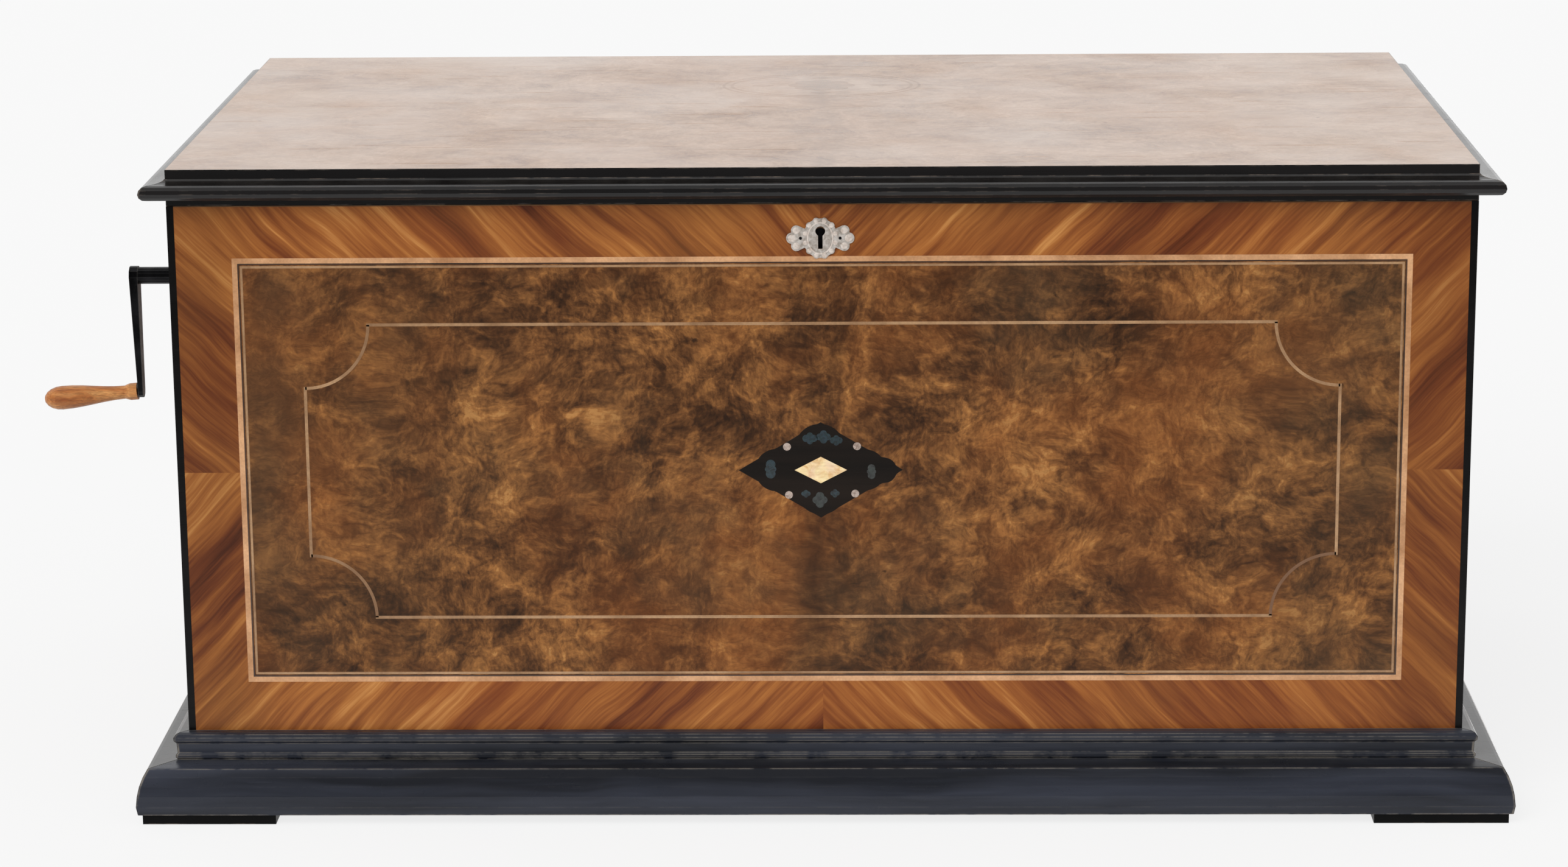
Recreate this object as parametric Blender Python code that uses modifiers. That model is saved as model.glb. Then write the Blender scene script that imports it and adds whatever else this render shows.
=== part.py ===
"""Orchestral music box: a veneered case with a hinged lid and a glass inner lid, over a pinned cylinder
movement with comb, bells, drum and castanet, wound by a crank on the left end. Metres, +Z up."""
import math

import bmesh
import bpy
from mathutils import Vector

# Clearances that hold all over the box
GAP = 0.0003
RUNNING = 0.0003
SINK = 0.001

# Case. Its width is what the movement and the control compartment take up.
CASE_DEPTH = 0.410
WALL = 0.012
RIM_Z = 0.350
LID_HEIGHT = 0.0202
LID_RECESS = 0.012
LID_WALL = 0.012
BOTTOM_Z = 0.014
BOTTOM_BOARD = 0.010
FOOT_SIZE = 0.0755
FOOT_INSET = 0.0031

# Plinth moulding, from its top bead down to the toe
PLINTH_BASE = 0.006
PLINTH_TOP = 0.048
PLINTH_OVERHANG = 0.0276
UPPER_BEAD_OUT = 0.0050
UPPER_BEAD_RADIUS = 0.0032
LOWER_BEAD_OUT = 0.0052
LOWER_BEAD_DROP = 0.0135
LOWER_BEAD_RADIUS = 0.0022
SHOULDER_INSET = 0.0064
SHOULDER_DROP = 0.0164
SHOULDER_ROUND = 0.0017
SWELL_INSET = 0.0006
SWELL_DROP = 0.0245
NOSE_RISE = 0.0048
TOE_INSET = 0.0008

# Lid moulding: a shallow hollow above a round nose
MOULDING_DROP = 0.0050
HOLLOW_OUT = 0.0020
LID_NOSE_OUT = 0.0093
LID_NOSE_RISE = 0.0088
LID_NOSE_RADIUS = 0.0042

# Lid hinges
HINGE_INSET = 0.125
HINGE_LENGTH = 0.056
HINGE_LEAF = 0.0015
CASE_LEAF_HEIGHT = 0.018
LID_LEAF_HEIGHT = 0.015
KNUCKLE_RADIUS = 0.0035
KNUCKLES = 5
PIN_RADIUS = 0.0013

# Glass inner lid
GLASS_DROP = 0.016
GLASS_FRAME = 0.012
GLASS_RAIL = 0.024
GLASS_EASE = 0.001
GLASS_SIDE_GAP = 0.0005
GLASS_FRONT_GAP = 0.0025
GLASS_BACK_GAP = 0.003
PANE = 0.003
PANE_DEPTH = 0.002
PANE_REBATE = 0.006
GLASS_PIN_RADIUS = 0.002
GLASS_PIN_LENGTH = 0.005

# Control compartment at the right
CONTROL_WIDTH = 0.078
PARTITION = 0.008
PARTITION_DROP = 0.012
PARTITION_SPACE = 0.017
LEVER_PLATE_DROP = 0.061
LEVER_PLATE = 0.003
LEVER_PLATE_LENGTH = 0.120
LEVER_PLATE_EASE = 0.0005
LEVER_PIVOT_Y = -0.010
LEVER_LENGTH = 0.050
LEVER_THICKNESS = 0.003
LEVER_BOSS = 0.007
LEVER_TIP = 0.0045
LEVER_STUD = 0.0025
LEVER_STUD_HEIGHT = 0.0055
KNOB_RADIUS = 0.0045
KNOB_HEIGHT = 0.0190
KNOB_NECK = 0.0020

# Lock, mortised into the front from behind
LOCK_HALF_WIDTH = 0.030
LOCK_THICKNESS = 0.007
LOCK_HEIGHT = 0.0442
LOCK_SIDE = 0.0015
LOCK_TOP_PLATE = 0.0029
LOCK_CLEARANCE = 0.0012
HOOK_X = 0.016
HOOK_WIDTH = 0.005
HOOK_THICKNESS = 0.0028
HOOK_DROP = 0.0095
HASP_END = 0.009
HASP_WIDTH = 0.007
HASP_PLATE = 0.0019
WINDOW_SIDE = 0.0008
WINDOW_MARGIN = 0.0011
BOLT_TRAVEL = 0.005
BOLT_DEPTH = 0.009
BOLT_THICKNESS = 0.0032
FINGER_HEIGHT = 0.0022
FINGER_RISE = 0.0026
FINGER_WIDTH = 0.0038
FINGER_REACH = 0.0040
BAR_DROP = 0.0020
BAR_END = 0.0030
KEYHOLE_DROP = 0.0165
KEYHOLE_RADIUS = 0.0031
KEYHOLE_SLOT = 0.0030
KEYHOLE_LENGTH = 0.0095
KEYHOLE_FACETS = 14
KEY_WAY = 0.0008

# Keyhole plate: an oval with lobed wings
ESCUTCHEON = 0.0009
ESCUTCHEON_DROP = 0.0192
ESCUTCHEON_HALF_WIDTH = 0.0196
ESCUTCHEON_HALF_HEIGHT = 0.0121
ESCUTCHEON_POINTS = 56
LOBES = 12
LOBE_SHARE = 0.055
PINCH_SHARE = 0.30
PINCH_AT = 0.72
PINCH_SPREAD = 0.13

# Crank, by its place on the left end
CRANK_Y = -0.095
CRANK_RISE = 0.0268
CRANK_RADIUS = 0.0685
CRANK_STANDOFF = 0.0370
ARM_THICKNESS = 0.0050
ARM_TIP_THICKNESS = 0.0030
ARM_BOSS = 0.0056
ARM_TIP = 0.0040
SHAFT_RADIUS = 0.0050
BUSH_RADIUS = 0.0080
BUSH_FLANGE = 0.0105
FLANGE_THICKNESS = 0.0012

# Turned grip on its pin
GRIP_LENGTH = 0.0557
GRIP_DROOP = math.radians(5.0)
GRIP_PIN = 0.0018
GRIP_PIN_SHARE = 0.75
GRIP_BORE_SHARE = 0.78
GRIP_NECK = 0.0039
GRIP_BULB = 0.0070
BULB_LENGTH = 0.0105
NECK_FROM_END = 0.0075
FERRULE_RADIUS = 0.0050
FERRULE_LENGTH = 0.0042
FERRULE_NECK = 0.0046
FERRULE_STEP = 0.0013

# Bedplate and the brackets on it
BED_THICKNESS = 0.008
BED_EASE = 0.0015
BED_LEFT_MARGIN = 0.002
BED_RIGHT_MARGIN = 0.0365
BED_FRONT_MARGIN = 0.006
BED_BEHIND = 0.145
LEG = 0.020
LEG_INSET_X = 0.030
LEG_INSET_Y = 0.012
BRACKET = 0.006
BRACKET_FOOT = 0.005
BRACKET_FOOT_REACH = 0.006
BRACKET_CORNER = 0.001
BARREL_BOSS = 0.012
SHAFT_BOSS = 0.010
CLICK_BOSS = 0.006
ARBOR_BOSS = 0.011
GOVERNOR_BOSS = 0.008
BARREL_CHEEK_FRONT = 0.010
BARREL_CHEEK_BACK = 0.045
CENTRE_CHEEK_FRONT = 0.028
CYLINDER_CHEEK_BACK = 0.026
GOVERNOR_CHEEK_FRONT = 0.020

# Cylinder and its arbor
CYLINDER_Y = 0.0
CYLINDER_DROP = 0.088
CYLINDER_RISE = 0.0637
CYLINDER_RADIUS = 0.030
CYLINDER_LENGTH = 0.330
CYLINDER_WALL = 0.004
CYLINDER_CHAMFER = 0.0012
CYLINDER_SPACE = 0.010
TUNE_SHIFT = 0.003
SHIFT_CLEARANCE = 0.0015
ARBOR_RADIUS = 0.004
ARBOR_END = 0.0015
CYLINDER_WHEEL_TEETH = 48
CYLINDER_WHEEL_RADIUS = 0.033
CYLINDER_PINION_TEETH = 10
WHEEL_THICKNESS = 0.004
WHEEL_SPACE = 0.0075
PINION_SIDE = 0.001
WHEEL_WINDOWS = 5
CYLINDER_WINDOW_AT = 0.58
CYLINDER_WINDOW = 0.20

# Spring barrel and winding
BARREL_FALL = 0.0155
BARREL_RADIUS = 0.040
BARREL_LENGTH = 0.071
BARREL_STEP = 0.002
BARREL_STEP_LENGTH = 0.004
BARREL_SPACE = 0.006
GREAT_WHEEL_TEETH = 60
GREAT_WHEEL_PROUD = 0.002
GREAT_WHEEL_SPACE = 0.0025
GREAT_WHEEL_THICKNESS = 0.006
GREAT_WHEEL_HUB = 0.7
CENTRE_SPACE = 0.0085
WINDING_ROOM = 0.028
WINDING_WHEEL_TEETH = 42
CRANK_PINION_TEETH = 14
WINDING_WHEEL = 0.006
CRANK_PINION_SIDE = 0.0015
WINDING_END = 0.004
WINDING_WINDOW_AT = 0.64
WINDING_WINDOW = 0.18
WINDING_ARBOR_RADIUS = 0.005
RATCHET_SPACE = 0.003
RATCHET = 0.005
RATCHET_TEETH = 20
RATCHET_RADIUS = 0.022
RATCHET_DEPTH = 0.0028
CLICK_SPACE = 0.004
CLICK_CLEARANCE = 0.0006
CLICK_LENGTH = 0.0186
CLICK_RISE = 0.0030
CLICK_ANGLE = math.radians(60.0)
CLICK_HUB = 0.0050
CLICK_TIP = 0.0006
CLICK_SIDE = 0.0005
CLICK_STUD = 0.002

# Governor: wheel, worm and fan in their frame
GOVERNOR_PINION_TEETH = 12
GOVERNOR_FALL = math.radians(29.0)
GOVERNOR_SPACE = 0.014
GOVERNOR_WHEEL_TEETH = 30
GOVERNOR_WHEEL_RADIUS = 0.018
GOVERNOR_ARBOR_RADIUS = 0.002
GOVERNOR_ARBOR_END = 0.001
WORM_RADIUS = 0.004
WORM_TURNS = 4
WORM_FACETS = 10
WORM_RINGS_PER_TURN = 5
WORM_ROOT_SHARE = 0.55
WORM_FLANK_SHARE = 0.30
FAN_RADIUS = 0.014
FAN_HEIGHT = 0.014
FAN_LIFT = 0.022
FAN_BLADE = 0.001
FAN_HUB = 0.003
FAN_ARBOR_RADIUS = 0.0015
FAN_ARBOR_DROP = 0.0185
FAN_ARBOR_IN = 0.003
COCK_SPACE = 0.0035
COCK = 0.005
COCK_OVER_WORM = 0.0045
FRAME_FOOT = 0.005
FRAME_EASE = 0.0006
FRAME_EDGE = 0.0065
FRAME_LEFT = 0.0095
FRAME_FRONT = 0.012
FRAME_BACK = 0.016
UPRIGHT_SPACE = 0.012
UPRIGHT_HALF = 0.011
BLOCK_HALF = 0.005

# Comb and its base
COMB_LEFT_MARGIN = 0.004
COMB_RIGHT_MARGIN = 0.002
COMB_ROOT_AT = 0.072
COMB_LENGTH = 0.040
COMB_THICKNESS = 0.003
COMB_TEETH = 54
COMB_MARGIN = 0.004
COMB_SLOT = 0.0010
COMB_TAPER = 0.10
COMB_REACH_GAP = 0.0012
COMB_EASE = 0.001
RELIEF_DEPTH = 0.014
RELIEF_FOOT = 0.014
RELIEF_HEAD = 0.020

# Hammers on their rail
HAMMER_Y = 0.055
HAMMER_ROD = 0.0015
HAMMER_WIDTH = 0.004
HAMMER_STEP = 0.0004
HAMMER_HUB = 0.0038
HAMMER_HEAD = 0.0035
HAMMER_NECK = 0.0016
HAMMER_KNEE = 0.0085
HAMMER_HEAD_RISE = 0.0075
TAIL_GAP = 0.0028
TAIL_RADIUS = 0.0012
TAIL_WIDTH = 0.0028
STICK_INSET = 0.006
BEATER_NECK = 0.010
BEATER_DROP = 0.005
STRIKE_GAP = 0.0008
BELL_GAP = 0.0015
RAIL_HALF = 0.006
RAIL_FOOT = 0.005
RAIL_END = 0.004
RAIL_EASE = 0.0006
RAIL_FIRST = 0.010
RAIL_LAST = 0.006
RAIL_AFTER_DRUM = 0.052
RAIL_BEFORE_CASTANET = 0.0205
POST_EYE = 0.0036
POST_FOOT = 0.003
POST_CORNER = 0.0012
POST_WIDTH = 0.004

# Bells on their stand. They fill the room between the drum and the castanet.
BELLS = 4
BELL_Y = 0.100
BELL_SPACE = 0.004
DRUM_TO_BELL = 0.080
BELL_TO_CASTANET = 0.045
BELL_HEIGHT = 0.0185
BELL_WALL = 0.0012
BELL_POST = 0.004
BELL_STUD = 0.002
STUD_PROUD = 0.0035
STUD_TIP = 0.0005
STAND_HALF = 0.007
STAND_END = 0.012
STAND = 0.008
STAND_EASE = 0.001
COLLAR = 0.0015
COLLAR_RISE = 0.002

# Drum and castanet
DRUM_AT = 0.036
DRUM_Y = 0.117
DRUM_RADIUS = 0.040
DRUM_HEIGHT = 0.027
DRUM_RIM = 0.002
DRUM_RIM_WIDTH = 0.004
DRUM_RIM_SLOPE = 0.001
HOOP_PROUD = 0.0015
HOOP = 0.005
HOOP_STEP = 0.001
DRUM_STEM = 0.005
STEM_FLARE = 0.001
DRUM_FOOT = 0.014
FOOT_RISE = 0.006
FOOT_EDGE = 0.003
CASTANET_AT = 0.013
CASTANET_Y = 0.0975
CASTANET_WIDTH = 0.024
CASTANET_DEPTH = 0.026
CASTANET_HEIGHT = 0.018
CASTANET_EASE = 0.0012
CASTANET_SLOT_AT = 0.008
CASTANET_SLOT = 0.004
CASTANET_BACK = 0.006
CASTANET_STEM = 0.004
CASTANET_FOOT = 0.010

# Gear teeth, in modules and in shares of the tooth pitch
ADDENDUM = 0.85
DEDENDUM = 1.15
TOOTH_ROOT_SHARE = 0.25
TOOTH_TIP_SHARE = 0.10

# Facets
ROUND = 16
ROUND_FINE = 30
ROUND_SMALL = 10
ROUND_LEAST = 8
DRUM_FACETS = 22
GRIP_FACETS = 18
BULB_STEPS = 5
NECK_STEPS = 6
BELL_STEPS = 4
WELD = 0.00001
FLATNESS = 0.001
HULL_FLATNESS = 0.01

# Places along the case from the inner face of its left end, and from those its width
WINDING_WHEEL_AT = WINDING_ROOM
RATCHET_AT = WINDING_WHEEL_AT + WINDING_WHEEL + RATCHET_SPACE
BARREL_BRACKET_AT = RATCHET_AT + RATCHET + CLICK_SPACE
BARREL_AT = BARREL_BRACKET_AT + BRACKET + BARREL_SPACE
GREAT_WHEEL_AT = BARREL_AT + BARREL_LENGTH + GREAT_WHEEL_SPACE
CENTRE_BRACKET_AT = GREAT_WHEEL_AT + GREAT_WHEEL_THICKNESS + CENTRE_SPACE
CYLINDER_AT = CENTRE_BRACKET_AT + BRACKET + CYLINDER_SPACE
CYLINDER_WHEEL_AT = CYLINDER_AT + CYLINDER_LENGTH + TUNE_SHIFT + SHIFT_CLEARANCE
GOVERNOR_BRACKET_AT = CYLINDER_WHEEL_AT + WHEEL_THICKNESS + WHEEL_SPACE
GOVERNOR_WHEEL_AT = GOVERNOR_BRACKET_AT + BRACKET + GOVERNOR_SPACE
UPRIGHT_AT = GOVERNOR_WHEEL_AT + WHEEL_THICKNESS + UPRIGHT_SPACE
FRAME_END_AT = UPRIGHT_AT + BRACKET + FRAME_EDGE
PARTITION_AT = FRAME_END_AT + BED_RIGHT_MARGIN + PARTITION_SPACE
INSIDE_X = (PARTITION_AT + PARTITION + CONTROL_WIDTH) / 2
INSIDE_Y = CASE_DEPTH / 2 - WALL
HALF_WIDTH = INSIDE_X + WALL
HALF_DEPTH = CASE_DEPTH / 2

# The same places in the case's own frame
WINDING_WHEEL_X = WINDING_WHEEL_AT - INSIDE_X
RATCHET_X = RATCHET_AT - INSIDE_X
BARREL_BRACKET_X = BARREL_BRACKET_AT - INSIDE_X
BARREL_LEFT = BARREL_AT - INSIDE_X
BARREL_RIGHT = BARREL_LEFT + BARREL_LENGTH
GREAT_WHEEL_X = GREAT_WHEEL_AT - INSIDE_X
CENTRE_BRACKET_X = CENTRE_BRACKET_AT - INSIDE_X
CYLINDER_LEFT = CYLINDER_AT - INSIDE_X
CYLINDER_RIGHT = CYLINDER_LEFT + CYLINDER_LENGTH
CYLINDER_WHEEL_X = CYLINDER_WHEEL_AT - INSIDE_X
GOVERNOR_BRACKET_X = GOVERNOR_BRACKET_AT - INSIDE_X
GOVERNOR_WHEEL_X = GOVERNOR_WHEEL_AT - INSIDE_X
UPRIGHT_X = UPRIGHT_AT - INSIDE_X
FRAME_RIGHT = FRAME_END_AT - INSIDE_X
PARTITION_X = PARTITION_AT - INSIDE_X
HINGE_X = HALF_WIDTH - HINGE_INSET

# Heights
BOTTOM_TOP = BOTTOM_Z + BOTTOM_BOARD
LID_TOP = RIM_Z + LID_HEIGHT
GLASS_TOP = RIM_Z - GLASS_DROP
GLASS_Z = GLASS_TOP - GLASS_FRAME
GLASS_PIN_Z = GLASS_Z + GLASS_FRAME / 2
LEVER_TOP = RIM_Z - LEVER_PLATE_DROP
KEYHOLE_Z = RIM_Z - KEYHOLE_DROP
CYLINDER_Z = RIM_Z - CYLINDER_DROP
BED_TOP = CYLINDER_Z - CYLINDER_RISE
BED_Z = BED_TOP - BED_THICKNESS
SEAT_Z = BED_TOP + GAP
BARREL_Z = CYLINDER_Z - BARREL_FALL
CRANK_Z = CYLINDER_Z + CRANK_RISE
STRUCK_TOP = CYLINDER_Z - HAMMER_HEAD - BEATER_DROP - STRIKE_GAP

# Places across the case
HINGE_Y = HALF_DEPTH + GAP + KNUCKLE_RADIUS
GLASS_BACK = INSIDE_Y - GLASS_BACK_GAP
GLASS_PIN_Y = GLASS_BACK - GLASS_FRAME
LOCK_FRONT = -INSIDE_Y - LOCK_THICKNESS
LOCK_MIDDLE = LOCK_FRONT + LOCK_THICKNESS / 2
COMB_ROOT = CYLINDER_Y - COMB_ROOT_AT
COMB_FRONT = COMB_ROOT - COMB_LENGTH
COMB_TIPS = CYLINDER_Y - CYLINDER_RADIUS - COMB_REACH_GAP
BED_FRONT = COMB_FRONT - BED_FRONT_MARGIN
BED_BACK = CYLINDER_Y + BED_BEHIND
ROD_Y = CYLINDER_Y + HAMMER_Y
BELL_ROW_Y = CYLINDER_Y + BELL_Y
DRUM_CENTRE_Y = CYLINDER_Y + DRUM_Y
CASTANET_CENTRE_Y = CYLINDER_Y + CASTANET_Y

# Gearing
GREAT_WHEEL_RADIUS = BARREL_RADIUS + GREAT_WHEEL_PROUD
GREAT_MODULE = 2 * GREAT_WHEEL_RADIUS / GREAT_WHEEL_TEETH
CYLINDER_PINION_RADIUS = GREAT_MODULE * CYLINDER_PINION_TEETH / 2
BARREL_DISTANCE = GREAT_WHEEL_RADIUS + CYLINDER_PINION_RADIUS
BARREL_Y = CYLINDER_Y - math.sqrt(BARREL_DISTANCE ** 2 - BARREL_FALL ** 2)
WINDING_DISTANCE = math.hypot(CRANK_Y - BARREL_Y, CRANK_Z - BARREL_Z)
WINDING_MODULE = 2 * WINDING_DISTANCE / (WINDING_WHEEL_TEETH + CRANK_PINION_TEETH)
WINDING_WHEEL_RADIUS = WINDING_MODULE * WINDING_WHEEL_TEETH / 2
CRANK_PINION_RADIUS = WINDING_MODULE * CRANK_PINION_TEETH / 2
CYLINDER_MODULE = 2 * CYLINDER_WHEEL_RADIUS / CYLINDER_WHEEL_TEETH
GOVERNOR_PINION_RADIUS = CYLINDER_MODULE * GOVERNOR_PINION_TEETH / 2
GOVERNOR_DISTANCE = CYLINDER_WHEEL_RADIUS + GOVERNOR_PINION_RADIUS
GOVERNOR_Y = CYLINDER_Y - GOVERNOR_DISTANCE * math.cos(GOVERNOR_FALL)
GOVERNOR_Z = CYLINDER_Z - GOVERNOR_DISTANCE * math.sin(GOVERNOR_FALL)
GOVERNOR_MODULE = 2 * GOVERNOR_WHEEL_RADIUS / GOVERNOR_WHEEL_TEETH
WORM_PITCH = math.pi * GOVERNOR_MODULE
WORM_X = GOVERNOR_WHEEL_X + WHEEL_THICKNESS / 2
WORM_Y = GOVERNOR_Y - GOVERNOR_WHEEL_RADIUS - WORM_RADIUS
WORM_LENGTH = WORM_TURNS * WORM_PITCH
FAN_Z = GOVERNOR_Z + FAN_LIFT
COCK_Z = FAN_Z + FAN_HEIGHT + COCK_SPACE

# What the hammers strike, from left to right
DRUM_X = CYLINDER_LEFT + DRUM_AT
CASTANET_X = CYLINDER_RIGHT - CASTANET_AT
BELL_FIRST_X = DRUM_X + DRUM_TO_BELL
BELL_LAST_X = CASTANET_X - BELL_TO_CASTANET
BELL_SPACING = (BELL_LAST_X - BELL_FIRST_X) / (BELLS - 1)
BELL_RADIUS = BELL_SPACING / 2 - BELL_SPACE
RAIL_POSTS = (CYLINDER_LEFT + RAIL_FIRST, DRUM_X + RAIL_AFTER_DRUM, (BELL_FIRST_X + BELL_LAST_X) / 2,
              CASTANET_X - RAIL_BEFORE_CASTANET, CYLINDER_RIGHT + RAIL_LAST)

# Where the case stands in the box around the whole object, crank included
LEFT_REACH = HALF_WIDTH + CRANK_STANDOFF + ARM_TIP_THICKNESS + GRIP_LENGTH * math.cos(GRIP_DROOP)
RIGHT_REACH = HALF_WIDTH + PLINTH_OVERHANG
FRONT_REACH = HALF_DEPTH + PLINTH_OVERHANG
BACK_REACH = HINGE_Y + KNUCKLE_RADIUS
CASE_X = (LEFT_REACH - RIGHT_REACH) / 2
CASE_Y = (FRONT_REACH - BACK_REACH) / 2

# Rotations that turn a flat drawing into its plane
FLAT = (0.0, 0.0, 0.0)
ACROSS = (math.pi / 2, 0.0, math.pi / 2)
UPRIGHT = (math.pi / 2, 0.0, 0.0)

MATERIALS = {
    "walnut": ((0.235, 0.120, 0.058), 0.38, 0.0),
    "ebonised": ((0.022, 0.020, 0.021), 0.32, 0.0),
    "case_wood": ((0.30, 0.19, 0.11), 0.60, 0.0),
    "lid_wood": ((0.42, 0.30, 0.22), 0.30, 0.0),
    "brass": ((0.72, 0.52, 0.24), 0.32, 1.0),
    "steel": ((0.46, 0.46, 0.48), 0.30, 1.0),
    "dark_steel": ((0.10, 0.10, 0.11), 0.38, 1.0),
    "nickel": ((0.62, 0.60, 0.57), 0.30, 1.0),
    "cast_iron": ((0.16, 0.15, 0.15), 0.55, 1.0),
    "bell_metal": ((0.70, 0.62, 0.45), 0.22, 1.0),
    "beech": ((0.70, 0.43, 0.24), 0.45, 0.0),
    "glass": ((0.85, 0.90, 0.90), 0.05, 0.0),
    "parchment": ((0.80, 0.72, 0.58), 0.60, 0.0),
}


def clear_scene():
    for item in list(bpy.data.objects):
        bpy.data.objects.remove(item)


def make_materials():
    made = {}
    for name, (colour, roughness, metallic) in MATERIALS.items():
        material = bpy.data.materials.new(name)
        material.use_nodes = True
        shader = material.node_tree.nodes["Principled BSDF"]
        shader.inputs["Base Color"].default_value = (*colour, 1.0)
        shader.inputs["Roughness"].default_value = roughness
        shader.inputs["Metallic"].default_value = metallic
        made[name] = material
    return made


clear_scene()
MATERIAL = make_materials()
PARTS = bpy.data.collections.new("orchestral_music_box")
CUTTERS = bpy.data.collections.new("cutters")
bpy.context.scene.collection.children.link(PARTS)
bpy.context.scene.collection.children.link(CUTTERS)
CASE = bpy.data.objects.new("case_place", None)
CASE.location = (CASE_X, CASE_Y, 0.0)
PARTS.objects.link(CASE)


# Shapes. Each returns an unlinked object placed in the case's own frame.

def mesh_object(build):
    """Object around a bmesh that holds one closed shape."""
    bmesh.ops.recalc_face_normals(build, faces=build.faces)
    mesh = bpy.data.meshes.new("shape")
    build.to_mesh(mesh)
    build.free()
    return bpy.data.objects.new("shape", mesh)


def box(low, high, bevel=0.0):
    """Box between two corners, with its outer edges eased."""
    build = bmesh.new()
    bmesh.ops.create_cube(build, size=1.0)
    size = [high[i] - low[i] for i in range(3)]
    bmesh.ops.scale(build, vec=size, verts=build.verts)
    if bevel > 0.0:
        bmesh.ops.bevel(build, geom=build.edges[:], offset=bevel, segments=1, affect="EDGES",
                        profile=0.5, material=-1)
    shape = mesh_object(build)
    shape.location = [(low[i] + high[i]) / 2 for i in range(3)]
    return shape


def rod(radius, start, length, rotation=FLAT, facets=ROUND_SMALL):
    """Round bar from start along the drawing plane's normal."""
    build = bmesh.new()
    bmesh.ops.create_cone(build, cap_ends=True, segments=facets, radius1=radius, radius2=radius,
                          depth=length)
    bmesh.ops.translate(build, vec=(0.0, 0.0, length / 2), verts=build.verts)
    shape = mesh_object(build)
    shape.location = start
    shape.rotation_euler = rotation
    return shape


def turned(profile, start, rotation=FLAT, facets=ROUND):
    """Turned shape. The profile gives (radius, height) down the outer side from the top."""
    mesh = bpy.data.meshes.new("profile")
    points = [(radius, 0.0, height) for radius, height in profile]
    mesh.from_pydata(points, [(i, i + 1) for i in range(len(points) - 1)], [])
    shape = bpy.data.objects.new("shape", mesh)
    screw = shape.modifiers.new("turn", "SCREW")
    screw.steps = facets
    screw.render_steps = facets
    screw.use_merge_vertices = True
    screw.merge_threshold = WELD
    shape.location = start
    shape.rotation_euler = rotation
    return shape


def turned_ring(profile, start, rotation=FLAT, facets=ROUND):
    """Turned shape with a bore: a closed profile that runs down outside and up inside."""
    return turned(list(profile) + [profile[0]], start, rotation, facets)


def outline(loops, thickness, start, rotation=FLAT):
    """Flat plate with the given outlines, from start along the drawing plane's normal."""
    curve = bpy.data.curves.new("outline", "CURVE")
    curve.dimensions = "2D"
    curve.fill_mode = "BOTH"
    curve.extrude = thickness / 2
    for loop in loops:
        spline = curve.splines.new("POLY")
        spline.points.add(len(loop) - 1)
        for point, (across, up) in zip(spline.points, loop):
            point.co = (across, up, 0.0, 1.0)
        spline.use_cyclic_u = True
    drawn = bpy.data.objects.new("outline", curve)
    bpy.context.scene.collection.objects.link(drawn)
    bpy.context.view_layer.update()
    graph = bpy.context.evaluated_depsgraph_get()
    mesh = bpy.data.meshes.new_from_object(drawn.evaluated_get(graph))
    bpy.data.objects.remove(drawn)
    build = bmesh.new()
    build.from_mesh(mesh)
    bpy.data.meshes.remove(mesh)
    bmesh.ops.remove_doubles(build, verts=build.verts, dist=WELD)
    bmesh.ops.dissolve_limit(build, angle_limit=FLATNESS, verts=build.verts, edges=build.edges)
    bmesh.ops.translate(build, vec=(0.0, 0.0, thickness / 2), verts=build.verts)
    shape = mesh_object(build)
    shape.location = start
    shape.rotation_euler = rotation
    return shape


def hull(circles, thickness, start, rotation=FLAT, facets=ROUND_SMALL):
    """Plate around circles (across, up, radius), each of which may add its own low and high face."""
    build = bmesh.new()
    for across, up, radius, *faces in circles:
        for height in faces or (0.0, thickness):
            for spot in arc(across, up, radius, 0.0, 360.0 * (facets - 1) / facets, facets - 1):
                build.verts.new((*spot, height))
    drop = bmesh.ops.convex_hull(build, input=build.verts)
    inner = {item for item in drop["geom_interior"] + drop["geom_unused"]
             if isinstance(item, bmesh.types.BMVert)}
    bmesh.ops.delete(build, geom=list(inner), context="VERTS")
    bmesh.ops.dissolve_limit(build, angle_limit=HULL_FLATNESS, verts=build.verts, edges=build.edges)
    shape = mesh_object(build)
    shape.location = start
    shape.rotation_euler = rotation
    return shape


def arc(across, up, radius, start, end, steps):
    """Points along an arc, with its angles in degrees."""
    angles = [math.radians(start + (end - start) * step / steps) for step in range(steps + 1)]
    return [(across + radius * math.cos(angle), up + radius * math.sin(angle)) for angle in angles]


def bezier(start, middle, end, steps):
    points = []
    for step in range(steps + 1):
        share = step / steps
        near = (1 - share) ** 2
        far = share ** 2
        both = 2 * share * (1 - share)
        points.append(tuple(near * start[i] + both * middle[i] + far * end[i] for i in range(2)))
    return points


def gear_outline(teeth, radius, phase):
    """Outline of a gear whose first tooth points at the phase angle."""
    module = 2 * radius / teeth
    root = radius - DEDENDUM * module
    tip = radius + ADDENDUM * module
    pitch = 2 * math.pi / teeth
    points = []
    for tooth in range(teeth):
        centre = phase + tooth * pitch
        for reach, share in ((root, -TOOTH_ROOT_SHARE), (tip, -TOOTH_TIP_SHARE),
                             (tip, TOOTH_TIP_SHARE), (root, TOOTH_ROOT_SHARE)):
            angle = centre + share * pitch
            points.append((reach * math.cos(angle), reach * math.sin(angle)))
    return points


def ratchet_outline():
    points = []
    root = RATCHET_RADIUS - RATCHET_DEPTH
    for tooth in range(RATCHET_TEETH):
        angle = 2 * math.pi * tooth / RATCHET_TEETH
        points.append((RATCHET_RADIUS * math.cos(angle), RATCHET_RADIUS * math.sin(angle)))
        points.append((root * math.cos(angle), root * math.sin(angle)))
    return points


def bearing_angle(from_y, from_z, to_y, to_z):
    return math.atan2(to_z - from_z, to_y - from_y)


def bore_along_x(radius, start_x, length, y, z, facets=ROUND):
    return rod(radius, (start_x, y, z), length, ACROSS, facets)


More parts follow.
